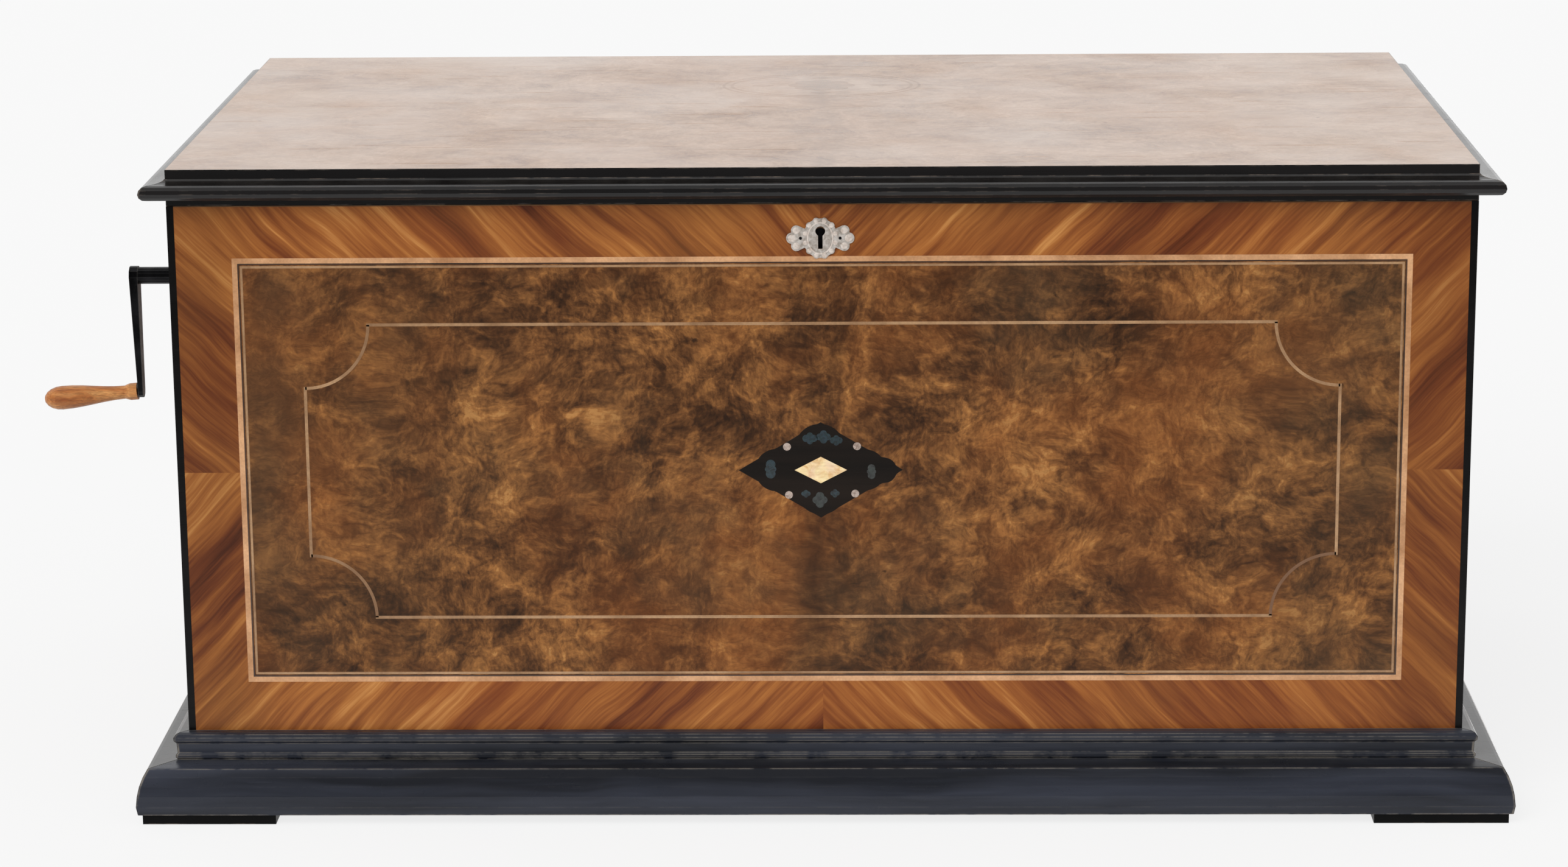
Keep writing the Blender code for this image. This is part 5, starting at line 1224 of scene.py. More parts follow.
    def piece(self, name: str, face: Face, finish: Finish, body: str, slot: str,
              smooth: float = 0.6) -> bpy.types.Object:
        """Finish the piece in its place.

        Args:
            name: Name of the piece.
            face: Face whose axes it was shaped in.
            finish: Its finish.
            body: Body that it rides on.
            slot: Material slot of the record that it belongs to; not used.
            smooth: Angle below which edges are shaded smooth, in radians.

        Returns:
            The finished object.
        """
        bmesh.ops.remove_doubles(self.build, verts=self.build.verts, dist=1e-6)
        self.build.transform(face.matrix)
        bmesh.ops.recalc_face_normals(self.build, faces=self.build.faces)
        for edge in self.build.edges:
            edge.smooth = edge.calc_face_angle(0.0) < smooth
        for surface in self.build.faces:
            surface.smooth = True
        mesh = bpy.data.meshes.new(name)
        self.build.to_mesh(mesh)
        self.build.free()
        mesh.materials.append(finish.material())
        item = bpy.data.objects.new(name, mesh)
        bpy.context.scene.collection.objects.link(item)
        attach(item, body)
        return item

    def lay(self, name: str, face: Face, finish: Finish) -> None:
        """Finish a piece of the case's veneer, line or inlay in its place."""
        self.piece(name, face, finish, "case", "walnut_veneer")


def dress(node: str, finish: Finish) -> None:
    """Give a carried-over part its finish.

    Args:
        node: Name of the part.
        finish: Its finish.
    """
    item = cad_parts[node]
    if not item.material_slots:
        item.data.materials.append(None)
    for place in item.material_slots:
        place.material = finish.material()


FRONT_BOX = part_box("case_front")
LID_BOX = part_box("lid_panel")
CENTRE_X = (FRONT_BOX[0].x + FRONT_BOX[1].x) / 2
BACK_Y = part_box("case_back")[1].y
ACROSS, AWAY, UP = Vector((1, 0, 0)), Vector((0, 1, 0)), Vector((0, 0, 1))
HALF_WIDTH = (FRONT_BOX[1].x - FRONT_BOX[0].x) / 2
FRONT = Face(Vector((CENTRE_X, FRONT_BOX[0].y, 0.0)), ACROSS, UP)
LEFT = Face(Vector((FRONT_BOX[0].x, BACK_Y, 0.0)), -AWAY, UP)
RIGHT = Face(Vector((FRONT_BOX[1].x, FRONT_BOX[0].y, 0.0)), AWAY, UP)
LID_TOP = Face(Vector((CENTRE_X, (LID_BOX[0].y + LID_BOX[1].y) / 2, LID_BOX[1].z)), ACROSS, AWAY)
WORLD = Face(Vector((0, 0, 0)), ACROSS, AWAY)
DEPTH = BACK_Y - FRONT_BOX[0].y
RIM = FRONT_BOX[1].z

BANDING_DOWN = CrossBanding("banding_down", slant=math.pi / 4, seed=0.31, centre=CENTRE_X)
BANDING_UP = CrossBanding("banding_up", slant=-math.pi / 4, seed=0.83, centre=CENTRE_X)
BURR = BurrVeneer("burr_walnut", centre=(CENTRE_X, FRONT_BOX[0].y, 0.198))
# Pale stops and pale ends (cool) on the lid: painted reflection of the bright backdrop, laid over what is
# darker walnut
LID_VENEER_PAINTED_GLARE = BurrVeneer("lid_walnut_painted_glare", centre=(CENTRE_X, LID_TOP.origin.y, LID_BOX[1].z),
                        turn=(-math.pi / 2, 0.0, 0.0), rough=0.20, specular=0.5, relief_strength=0.02,
                        stops=((0.02, "#7E5A42"), (0.25, "#9A7458"), (0.48, "#AE8A6C"), (0.66, "#BA967A"),
                               (0.86, "#C6A488"), (1.0, "#D0B096")), cool="#CDB6A4", warm="#B48A6A",
                        dark="#86664E", cloud=1.4, blotch=1.0, mottle=1.0, grit=0.6)
# Medallion colours sit close to the lid's pale veneer: painted glare washing out the inlay
INLAY_PAINTED_GLARE = replace(LID_VENEER_PAINTED_GLARE, name="inlay_painted_glare", cool="#AE9078",
                      stops=((0.02, "#6A4832"), (0.25, "#866248"), (0.48, "#9C785A"), (0.66, "#A98468"),
                             (0.86, "#B89274"), (1.0, "#C29E82")))
EBONISED = Ebonised("ebonised_wood")
# Blue-black with a blue-grey sheen tone: partly the wood's colour, partly painted reflection of the studio on
# the plinth
PLINTH_BLACK = Ebonised("plinth_black", colour="#181A20", sheen="#3A3E4A", rough=0.26, cover=0.36,
                        edge=0.0014, specular=0.30, dust=0.15, worn="#7C766E")
EDGE_BLACK = Ebonised("edge_black", colour="#080707", sheen="#121010", specular=0.16, rough=0.3, cover=0.1,
                      edge=0.0002)
# Darker than the other ebonised wood: painted shade under the plinth
FOOT_BLACK = Ebonised("foot_black", colour="#050505", sheen="#0B0A0A", specular=0.10, rough=0.4, dust=0.05)
# Heavy dust on upward faces with a full sheen lobe: partly real dust, partly painted reflection of the bright
# backdrop at grazing angles
DUST_AND_GLARE_BLACK = Ebonised("dust_and_painted_glare_black", bloom=1.0, dust=0.35, specular=0.5)
BOXWOOD = Line("boxwood_line")
THIN_LINE = Line("thin_boxwood_line", bright="#B08A64", brown="#8E6A48", fade=0.35)
WORN_LINE = Line("worn_boxwood_line", bright="#A07A54", brown="#7E5A3A", fade=0.8)
LOST_LINE = Line("lost_boxwood_line", bright="#7E5A3C", brown="#6A4830", fade=1.0)
DARK_LINE = Line("dark_line", bright="#4A3020", brown="#2E1D12", ground="#5A3C24", fade=0.2)
BRASS = Metal("aged_brass")
STEEL = Metal("polished_steel", bright="#B8B8BA", dull="#7C7C80", speck="#3A3430", edge_colour="#DADADC",
              rough=0.24, tarnish=0.35)
BLUED = Metal("blued_steel", bright="#3C4660", dull="#262C3E", speck="#1A1A22", edge_colour="#8A92A8",
              rough=0.22)
BLACK_STEEL = Metal("blackened_steel", bright="#2A2A2C", dull="#161617", speck="#0C0C0C",
                    edge_colour="#6A6866", rough=0.34, tarnish=0.5)
NICKEL = Metal("worn_nickel", bright="#D0C9C2", dull="#9A8F84", speck="#4A3C32", edge_colour="#E4D8CC",
               rough=0.42, tarnish=0.50, patch=420.0, metallic=0.25, edge=0.0004)
BRIGHT_NICKEL = Metal("rubbed_nickel", bright="#E6DAD0", dull="#BCAA9C", speck="#6A584C",
                      edge_colour="#FFF6EC", rough=0.36, tarnish=0.44, patch=420.0, metallic=0.25,
                      edge=0.0004)
BELL_METAL = Metal("bell_metal", bright="#E0C88C", dull="#B0925A", speck="#6A5430", edge_colour="#F4E8C0",
                   rough=0.16, tarnish=0.3)
IRON = Casting("bedplate_iron", colour="#3A2F24", high="#5A4A36", worn="#9A8A70")
COMB_IRON = Casting("comb_base_iron", colour="#26262A", high="#3C3C42")
BEECH = Veneer("turned_beech", stops=((0.30, "#924E24"), (0.50, "#BC763C"), (0.70, "#DA9C5C")), band=220.0,
               fibre=1500.0, stretch=10.0, rough=0.34, pore_colour="#4E2610", age=0.35,
               age_colour="#6A3418")
SIDE_WALNUT = Veneer("end_walnut", turn=Axis.Z.value, band=46.0, stretch=9.0, warp=1.6)
CARCASS = Veneer("carcass_wood", stops=((0.30, "#6A4A2E"), (0.50, "#8A6440"), (0.70, "#A67E54")), band=38.0,
                 fibre=520.0, stretch=16.0, rough=0.5, coat=0.0, specular=0.3, pore_share=0.3, age=0.4)
BOARD = Veneer("bottom_board_wood", stops=((0.30, "#7A5C3C"), (0.50, "#9C7A52"), (0.70, "#B8946A")),
               band=30.0, fibre=420.0, stretch=18.0, rough=0.6, coat=0.0, pore_share=0.25, age=0.5)
LID_INSIDE = Veneer("lid_inside_wood", stops=((0.30, "#8A5E38"), (0.50, "#A87A4A"), (0.70, "#C09660")),
                    band=42.0, fibre=620.0, stretch=15.0, rough=0.36)
INLAY_BLACK = Ebonised("inlay_black", colour="#0E0B09", sheen="#231A14", edge=0.0002, cover=0.2, rough=0.40,
                       specular=0.18, dust=0.0)
LEAF = Shell("teal_leaf_inlay", light="#21323A", shade="#0E1112", glow="#1C3434", rough=0.3, scale=420.0)
PALE_LEAF = Shell("grey_leaf_inlay", light="#333634", shade="#141312", glow="#2C3630", rough=0.3, scale=420.0)
BONE = Shell("cream_lozenge", light="#F4DDA8", shade="#D2A060", glow="#F2D6BC", rough=0.26, scale=130.0)
PEARL = Shell("pearl_dot", light="#B8A69A", shade="#7A665A", glow="#A89890", rough=0.22, scale=420.0)
PANE = Glass("old_glass")
SKIN = Hide("drum_skin")


# Outlines

def lozenge(half_width: float, half_height: float) -> Reach:
    """Give the rule of a lozenge.

    Args:
        half_width: Half its width.
        half_height: Half its height.

    Returns:
        Reach of the lozenge about its middle, by angle.
    """
    def reach(angle: float) -> float:
        """Distance to the lozenge's side."""
        return 1.0 / (abs(math.cos(angle)) / half_width + abs(math.sin(angle)) / half_height)
    return reach


def oval(half_width: float, half_height: float) -> Reach:
    """Give the rule of an oval.

    Args:
        half_width: Half its width.
        half_height: Half its height.

    Returns:
        Reach of the oval about its middle, by angle.
    """
    def reach(angle: float) -> float:
        """Distance to the oval's edge."""
        return 1.0 / math.hypot(math.cos(angle) / half_width, math.sin(angle) / half_height)
    return reach


def petal(right: float, up: float, radius: float) -> Reach:
    """Give the rule of a round petal.

    Args:
        right: Place of its own middle.
        up: Height of its own middle.
        radius: Its radius.

    Returns:
        Reach of the petal about the shared middle, by angle.
    """
    def reach(angle: float) -> float:
        """Measure the way to the petal's far side.

        Args:
            angle: Angle about the shared middle.

        Returns:
            The distance, nothing where the petal is missed.
        """
        along = right * math.cos(angle) + up * math.sin(angle)
        aside = up * math.cos(angle) - right * math.sin(angle)
        return along + math.sqrt(radius ** 2 - aside ** 2) if abs(aside) < radius else 0.0
    return reach


def slot(half_width: float, low: float, high: float) -> Reach:
    """Give the rule of an upright slot that holds the middle.

    Args:
        half_width: Half its width.
        low: Height of its foot, below zero.
        high: Height of its top.

    Returns:
        Reach of the slot about the middle, by angle.
    """
    def reach(angle: float) -> float:
        """Measure the way to the slot's side or end.

        Args:
            angle: Angle about the middle.

        Returns:
            The shorter distance.
        """
        across, rise = math.cos(angle), math.sin(angle)
        side = half_width / max(abs(across), 1e-9)
        end = (high if rise > 0.0 else -low) / max(abs(rise), 1e-9)
        return min(side, end)
    return reach


def joined(shapes: Sequence[Reach], right: float = 0.0, up: float = 0.0) -> Outline:
    """Join shapes, drawn in millimetres, into one outline.

    Args:
        shapes: Reach of each shape about the shared middle.
        right: Place of the middle.
        up: Height of the middle.

    Returns:
        Rule that gives the place on the outline at an angle.
    """
    def rule(angle: float) -> Pair:
        """Place on the outline at an angle."""
        reach = max(shape(angle) for shape in shapes)
        return (right + reach * math.cos(angle)) * MM, (up + reach * math.sin(angle)) * MM
    return rule


def around(count: int, half_width: float, half_height: float, start: float = 0.0) -> list[Pair]:
    """Give places spread round an oval.

    Args:
        count: Number of places.
        half_width: Half the oval's width.
        half_height: Half its height.
        start: Share of a step before the first place.

    Returns:
        The places.
    """
    angles = [2 * math.pi * (index + start) / count for index in range(count)]
    return [(half_width * math.cos(angle), half_height * math.sin(angle)) for angle in angles]


# Sub-assemblies

@dataclass
class FrontPanel:
    """Veneered front: burr field, slanted banding and boxwood lines."""

    ground: float = 0.15 * MM
    proud: float = 0.22 * MM
    low: float = 47.0 * MM
    high: float = 349.5 * MM
    corner: float = 3.7 * MM
    line_x: float = 323.7 * MM
    line_low: float = 78.0 * MM
    line_high: float = 319.1 * MM
    line: float = 3.0 * MM
    dark_line: float = 0.8 * MM
    pale_line: float = 1.3 * MM
    dark_gap: float = 0.6 * MM
    inner_x: float = 287.0 * MM
    inner_low: float = 114.3 * MM
    inner_high: float = 282.8 * MM
    inner_line: float = 1.7 * MM
    corner_radius: float = 36.0 * MM
    corner_steps: int = 20
    key_gap: float = 5.0 * MM
    key_low: float = 322.0 * MM
    key_high: float = 338.5 * MM

    def build(self) -> None:
        """Lay every piece of the front."""
        self.field()
        self.banding()
        self.outer_lines()
        self.inner_line_pieces()
        dress("case_front", CARCASS)
        log.info("front panel laid")

    def field(self) -> None:
        """Lay the burr walnut field inside the outer line."""
        edge = self.line_x - self.line / 2
        Blank().slab((-edge, self.line_low + self.line / 2, 0.0),
                     (edge, self.line_high - self.line / 2, self.ground)) \
            .lay("front_burr_field", FRONT, BURR)

    def banding(self) -> None:
        """Lay the eight mitred lengths of slanted banding."""
        out_x = HALF_WIDTH - self.corner
        in_x = self.line_x + self.line / 2
        in_low = self.line_low - self.line / 2
        in_high = self.line_high + self.line / 2
        middle = (self.line_low + self.line_high) / 2
        for side, name in SIDES:
            for top, level in ((True, "upper"), (False, "lower")):
                finish = BANDING_DOWN if (side < 0) == top else BANDING_UP
                near, far = (in_high, self.high) if top else (in_low, self.low)
                corner = (side * in_x, near, 0.0)
                outer = (side * out_x, far, self.ground)
                across = Vector((abs(far - near) * side, (out_x - in_x) * (-1 if top else 1), 0.0))
                start = side * self.key_gap if top else 0.0
                length = Blank()
                if top:
                    length.slab((0.0, near, 0.0), (start, self.key_low, self.ground))
                    length.slab((0.0, self.key_high, 0.0), (start, far, self.ground))
                length.slab((start, near, 0.0), outer).cut(corner, across) \
                    .lay(f"banding_{level}_{name}", FRONT, finish)
                Blank().slab((side * in_x, middle, 0.0), outer).cut(corner, -across) \
                    .lay(f"banding_{name}_{level}", FRONT, finish)

    def rectangle(self, name: str, half: float, low: float, high: float, width: float,
                  finish: Finish) -> None:
        """Lay a mitred rectangle of line.

        Args:
            name: Name that its four pieces share.
            half: Half its width at the line's middle.
            low: Height of its lower line.
            high: Height of its upper line.
            width: Width of the line.
            finish: Finish of the line.
        """
        reach = width / 2
        for side, label in SIDES:
            piece = Blank().slab((side * half - reach, low - reach, 0.0),
                                 (side * half + reach, high + reach, self.proud))
            piece.cut((side * half, high, 0.0), (-side, 1.0, 0.0))
            piece.cut((side * half, low, 0.0), (-side, -1.0, 0.0))
            piece.lay(f"{name}_{label}", FRONT, finish)
        for level, sign, label in ((low, -1, "bottom"), (high, 1, "top")):
            piece = Blank().slab((-half - reach, level - reach, 0.0),
                                 (half + reach, level + reach, self.proud))
            piece.cut((half, level, 0.0), (1.0, -sign, 0.0))
            piece.cut((-half, level, 0.0), (-1.0, -sign, 0.0))
            piece.lay(f"{name}_{label}", FRONT, finish)

    def outer_lines(self) -> None:
        """Lay the bright line, the dark line inside it and the pale line inside that."""
        self.rectangle("outer_line", self.line_x, self.line_low, self.line_high, self.line, BOXWOOD)
        step = self.line / 2 + self.dark_line / 2
        self.rectangle("dark_line", self.line_x - step, self.line_low + step, self.line_high - step,
                       self.dark_line, DARK_LINE)
        step += self.dark_line / 2 + self.dark_gap + self.pale_line / 2
        self.rectangle("pale_line", self.line_x - step, self.line_low + step, self.line_high - step,
                       self.pale_line, THIN_LINE)

    def inner_line_pieces(self) -> None:
        """Lay the thin inner line, whose corners turn inwards in quarter circles."""
        reach = self.inner_line / 2
        span = self.inner_x - self.corner_radius
        for side, label in SIDES:
            foot = self.inner_low + self.corner_radius - reach
            top = self.inner_high - self.corner_radius + reach
            middle = side * self.inner_x
            Blank().slab((middle - reach, foot, 0.0), (middle + reach, top, self.proud)) \
                .lay(f"inner_line_{label}", FRONT, THIN_LINE)
        for level, label in ((self.inner_low, "bottom"), (self.inner_high, "top")):
            Blank().slab((-span - reach, level - reach, 0.0), (span + reach, level + reach, self.proud)) \
                .lay(f"inner_line_{label}", FRONT, THIN_LINE)
            for side, hand in SIDES:
                self.corner_arc(f"inner_line_{label}_{hand}_corner", side * self.inner_x, level)

    def corner_arc(self, name: str, right: float, up: float) -> None:
        """Lay one quarter circle of the inner line.

        Args:
            name: Name of the piece.
            right: Place of the corner it is drawn about.
            up: Height of that corner.
        """
        reach = self.inner_line / 2
        radius = self.corner_radius
        profile = [(radius - reach, 0.0), (radius + reach, 0.0), (radius + reach, self.proud),
                   (radius - reach, self.proud)]
        piece = Blank().spun(profile, self.corner_steps, math.pi / 2)
        middle = (self.inner_low + self.inner_high) / 2
        quarter = {(False, True): 0.0, (True, True): 1.0, (True, False): 2.0, (False, False): 3.0}
        turns = quarter[(right > 0, up < middle)]
        turn = Matrix.Rotation(turns * math.pi / 2, 4, "Z")
        piece.build.transform(Matrix.Translation((right, up, 0.0)) @ turn)
        finish = THIN_LINE if up > middle else (LOST_LINE if right > 0 else WORN_LINE)
        piece.lay(name, FRONT, finish)


@dataclass
class Diamond:
    """Inlaid diamond at the middle of the front, in millimetres about its own middle."""

    right: float = -0.5 * MM
    up: float = 199.2 * MM
    core: Pair = (45.8, 27.4)
    petals: tuple = ((-24.5, 0.0, 12.2), (-34.0, 0.0, 6.0), (24.5, 0.0, 11.8), (35.0, -0.3, 7.4),
                     (-0.5, 12.6, 13.8), (0.0, -12.4, 13.2))
    lozenge: Pair = (14.6, 7.6)
    dot: float = 2.2
    dots: tuple = ((-18.8, 13.4), (20.2, 13.6), (-17.9, -14.3), (19.1, -13.6))
    leaves: tuple = ((-28.0, 0.6, 3.2, 5.4, 0), (28.2, -1.0, 2.6, 4.2, 1), (-6.0, 18.2, 4.2, 3.4, 0),
                     (1.6, 19.0, 4.0, 3.8, 0), (8.6, 17.0, 3.6, 3.0, 0), (-0.6, -17.2, 4.2, 4.6, 1),
                     (7.8, -13.4, 2.6, 2.4, 0), (-8.4, -13.6, 2.6, 2.2, 0))
    ground: float = 0.18 * MM
    proud: float = 0.24 * MM
    edge_points: int = 200
    inlay_points: int = 48
    dot_points: int = 24

    def build(self) -> None:
        """Lay the diamond, its leaves, lozenge and dots."""
        place = Face(FRONT.point(self.right, self.up), FRONT.right, FRONT.up)
        shapes = [lozenge(*self.core)]
        shapes += [petal(*spot) for spot in self.petals]
        Blank().drawn(joined(shapes), 0.0, self.ground, self.edge_points) \
            .lay("diamond_ground", place, INLAY_BLACK)
        under = self.ground * 0.5
        for index, (right, up, wide, tall, tone) in enumerate(self.leaves):
            shapes = [petal(-wide * 0.5, 0.0, wide * 0.5), petal(wide * 0.5, 0.0, wide * 0.5),
                      petal(0.0, tall * 0.5, tall * 0.5), petal(0.0, -tall * 0.5, tall * 0.5)]
            Blank().drawn(joined(shapes, right, up), under, self.proud, self.inlay_points) \
                .lay(f"diamond_leaf_{index + 1}", place, (LEAF, PALE_LEAF)[tone])
        Blank().drawn(joined([lozenge(*self.lozenge)]), under, self.proud, self.inlay_points) \
            .lay("diamond_lozenge", place, BONE)
        for index, (right, up) in enumerate(self.dots):
            Blank().disc(self.dot * MM, under, self.proud, (right * MM, up * MM), self.dot_points) \
                .lay(f"diamond_dot_{index + 1}", place, PEARL)
        log.info("diamond inlaid")


@dataclass
class Escutcheon:
    """Worn nickel key plate with a scalloped oval and lobed wings, in millimetres about its middle."""

    core: Pair = (9.6, 11.0)
    scallops: int = 12
    scallop: float = 1.9
    wings: tuple = ((13.2, 4.3, 2.9), (13.2, -4.3, 2.9), (15.6, 0.0, 3.2), (10.5, 0.0, 5.2))
    beaded_wings: int = 3
    head: Triple = (0.0, 3.9, 2.7)
    stem: Triple = (1.25, -6.0, 3.9)
    ring_outside: Pair = (7.3, 9.1)
    ring_inside: Pair = (6.5, 8.3)
    pin: Pair = (10.9, 0.9)
    foot: float = 0.3
    height: float = 1.0
    points: int = 192

    def build(self) -> None:
        """Make the plate with its keyhole, the raised oval round it, its beads and its pins."""
        low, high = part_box("escutcheon")
        place = Face(FRONT.point(0.0, (low.z + high.z) / 2), FRONT.right, FRONT.up)
        self.cut_plate(place)
        rise = (self.foot + self.height * 0.6) * MM
        Blank().pierced(joined([oval(*self.ring_outside)]), joined([oval(*self.ring_inside)]), rise,
                        (self.foot + self.height) * MM).ease(0.15 * MM) \
            .piece("escutcheon_ring", place, BRIGHT_NICKEL, "case", "nickel")
        beads = Blank()
        for right, up in self.scallop_places(0.55):
            beads.dome(self.scallop * 0.72 * MM, rise, 0.55 * MM, (right * MM, up * MM))
        for right, up, radius in self.wings[:self.beaded_wings]:
            for side, _ in SIDES:
                beads.dome(radius * 0.68 * MM, rise, 0.6 * MM, (side * right * MM, up * MM))
        beads.piece("escutcheon_beads", place, BRIGHT_NICKEL, "case", "nickel")
        pins = Blank()
        for side, _ in SIDES:
            pins.dome(self.pin[1] * MM, rise, 0.5 * MM, (side * self.pin[0] * MM, 0.0))
        pins.piece("escutcheon_pins", place, BLACK_STEEL, "case", "nickel")
        log.info("escutcheon made")

    def scallop_places(self, inset: float) -> list[Pair]:
        """Give the middles of the scallops, a share of their radius inside the oval's edge."""
        width, height = (half - self.scallop * inset for half in self.core)
        return around(self.scallops, width, height, 0.5)

    def cut_plate(self, place: Face) -> None:
        """Cut the plate that takes the place of the plain one.

        Args:
            place: Face at its middle.
        """
        shapes = [oval(*self.core)]
        shapes += [petal(right, up, self.scallop) for right, up in self.scallop_places(0.6)]
        shapes += [petal(side * right, up, radius) for right, up, radius in self.wings for side, _ in SIDES]
        hole = joined([petal(*self.head), slot(*self.stem)])
        plate = Blank().pierced(joined(shapes), hole, self.foot * MM, (self.foot + self.height * 0.7) * MM,
                                self.points).ease(0.18 * MM) \
            .piece("escutcheon_plate", place, NICKEL, "case", "nickel")
        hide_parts("escutcheon")


@dataclass
class CaseEdges:
    """Black edging up the two front corners, and the veneer of the ends."""

    width: float = 3.7 * MM
    ground: float = 0.15 * MM
    proud: float = 0.25 * MM
    low: float = 47.0 * MM
    tuck: float = 2.2 * MM
    below_rim: float = 0.3 * MM

    def build(self) -> None:
        """Lay the edging and the end veneers."""
        for side, name in SIDES:
            outside = side * (HALF_WIDTH + self.proud)
            inside = side * (HALF_WIDTH - self.width)
            corner = Blank().slab((inside, self.low, 0.0), (outside, RIM, self.proud))
            corner.slab((side * HALF_WIDTH, self.low, 0.0), (outside, RIM, -self.width))
            corner.piece(f"corner_edging_{name}", FRONT, EDGE_BLACK, "case", "ebonised_wood")
        top = RIM - self.below_rim
        for face, name, veneer in (
                (LEFT, "left", self.bored(0.0, DEPTH - self.width, top)),
                (RIGHT, "right", Blank().slab((self.width, self.low, 0.0), (DEPTH, top, self.ground)))):
            veneer.lay(f"end_veneer_{name}", face, SIDE_WALNUT)
        for node in ("case_left_end", "case_right_end", "case_back"):
            dress(node, CARCASS)
        dress("bottom_board", BOARD)
        log.info("case edges and ends laid")

    def bored(self, start: float, end: float, top: float) -> Blank:
        """Cut the left end's veneer with a round hole, tucked in under the flange of the crank's bush.

        Args:
            start: Where the veneer starts along the face.
            end: Where it ends.
            top: Height of its upper edge.

        Returns:
            The bored blank.
        """
        low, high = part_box("crank_bush")
        middle = LEFT.matrix.inverted() @ ((low + high) / 2)
        radius = (high.z - low.z) / 2 - self.tuck

        def outline(angle: float) -> Pair:
            """Follow the veneer's edge.

            Args:
                angle: Angle round the hole.

            Returns:
                The place on the edge.
            """
            across = min(max(math.sqrt(2) * math.cos(angle), -1.0), 1.0)
            up = min(max(math.sqrt(2) * math.sin(angle), -1.0), 1.0)
            return (middle.x + across * ((end - middle.x) if across > 0.0 else (middle.x - start)),
                    middle.y + up * ((top - middle.y) if up > 0.0 else (middle.y - self.low)))

        def hole(angle: float) -> Pair:
            """Give the place on the hole's edge at an angle."""
            return middle.x + radius * math.cos(angle), middle.y + radius * math.sin(angle)

        return Blank().pierced(outline, hole, 0.0, self.ground)


@dataclass
class Lid:
    """Lid: veneered top with a medallion kept faint by painted glare, black edges and brass hinges."""

    ground: float = 0.15 * MM
    sunk: float = 0.05 * MM
    facing: float = 0.2 * MM
    rise: float = 0.02 * MM
    medallion: Pair = (61.0, 46.0)
    medallion_place: Pair = (-2.5, 81.5)
    medallion_line: float = 1.8
    insets: Pair = (0.0, 5.0)
    petals: int = 8
    petal: float = 6.5
    petal_ring: float = 14.0
    rose: float = 12.0
    lozenge: Pair = (6.5, 4.5)
    lozenges: tuple = ((-36.0, 0.0), (36.0, 0.0), (0.0, -29.0), (0.0, 29.0))
    line_points: int = 128
    rose_points: int = 160
    lozenge_points: int = 48

    def build(self) -> None:
        """Dress the lid and lay its medallion."""
        half_depth = (LID_BOX[1].y - LID_BOX[0].y) / 2
        dress("lid_panel", LID_INSIDE)
        Blank().slab((-HALF_WIDTH, -half_depth, -self.sunk), (HALF_WIDTH, half_depth, self.ground)) \
            .piece("lid_veneer", LID_TOP, LID_VENEER_PAINTED_GLARE, "lid", "lid_veneer")
        low, high = LID_BOX[0].z - LID_BOX[1].z, self.ground
        half = HALF_WIDTH + self.facing
        Blank().slab((-half, -half_depth - self.facing, low), (half, -half_depth, high)) \
            .piece("lid_facing_front", LID_TOP, EBONISED, "lid", "ebonised_wood")
        for side, name in SIDES:
            Blank().slab((side * HALF_WIDTH, -half_depth, low), (side * half, half_depth, high)) \
                .piece(f"lid_facing_{name}", LID_TOP, EBONISED, "lid", "ebonised_wood")
        dress("lid_moulding_front", EBONISED)
        # Side mouldings get the dust and painted glare finish
        dress("lid_moulding_left", DUST_AND_GLARE_BLACK)
        dress("lid_moulding_right", DUST_AND_GLARE_BLACK)
        for side in ("left", "right"):
            for owner in ("case", "lid"):
                dress(f"hinge_{owner}_leaf_{side}", BRASS)
        self.lay_medallion()
        log.info("lid dressed")

    def lay_medallion(self) -> None:
        """Lay the medallion, pale and low in contrast as painted glare: two oval lines round a rosette and
        four lozenges.
        """
        right, up = self.medallion_place
        place = Face(LID_TOP.point(right * MM, up * MM), LID_TOP.right, LID_TOP.up)
        low, high = self.ground * 0.5, self.ground + self.rise
        wide, deep = self.medallion
        for index, inset in enumerate(self.insets):
            outer = joined([oval(wide - inset, deep - inset)])
            inner = joined([oval(wide - inset - self.medallion_line, deep - inset - self.medallion_line)])
            Blank().pierced(outer, inner, low, high, self.line_points) \
                .piece(f"medallion_line_{index + 1}", place, INLAY_PAINTED_GLARE, "lid", "lid_veneer")
        ring = around(self.petals, self.petal_ring, self.petal_ring)
        rose = [oval(self.rose, self.rose)] + [petal(*spot, self.petal) for spot in ring]
        Blank().drawn(joined(rose), low, high, self.rose_points) \
            .piece("medallion_rosette", place, INLAY_PAINTED_GLARE, "lid", "lid_veneer")
        for index, spot in enumerate(self.lozenges):
            Blank().drawn(joined([lozenge(*self.lozenge)], *spot), low, high, self.lozenge_points) \
                .piece(f"medallion_lozenge_{index + 1}", place, INLAY_PAINTED_GLARE, "lid", "lid_veneer")


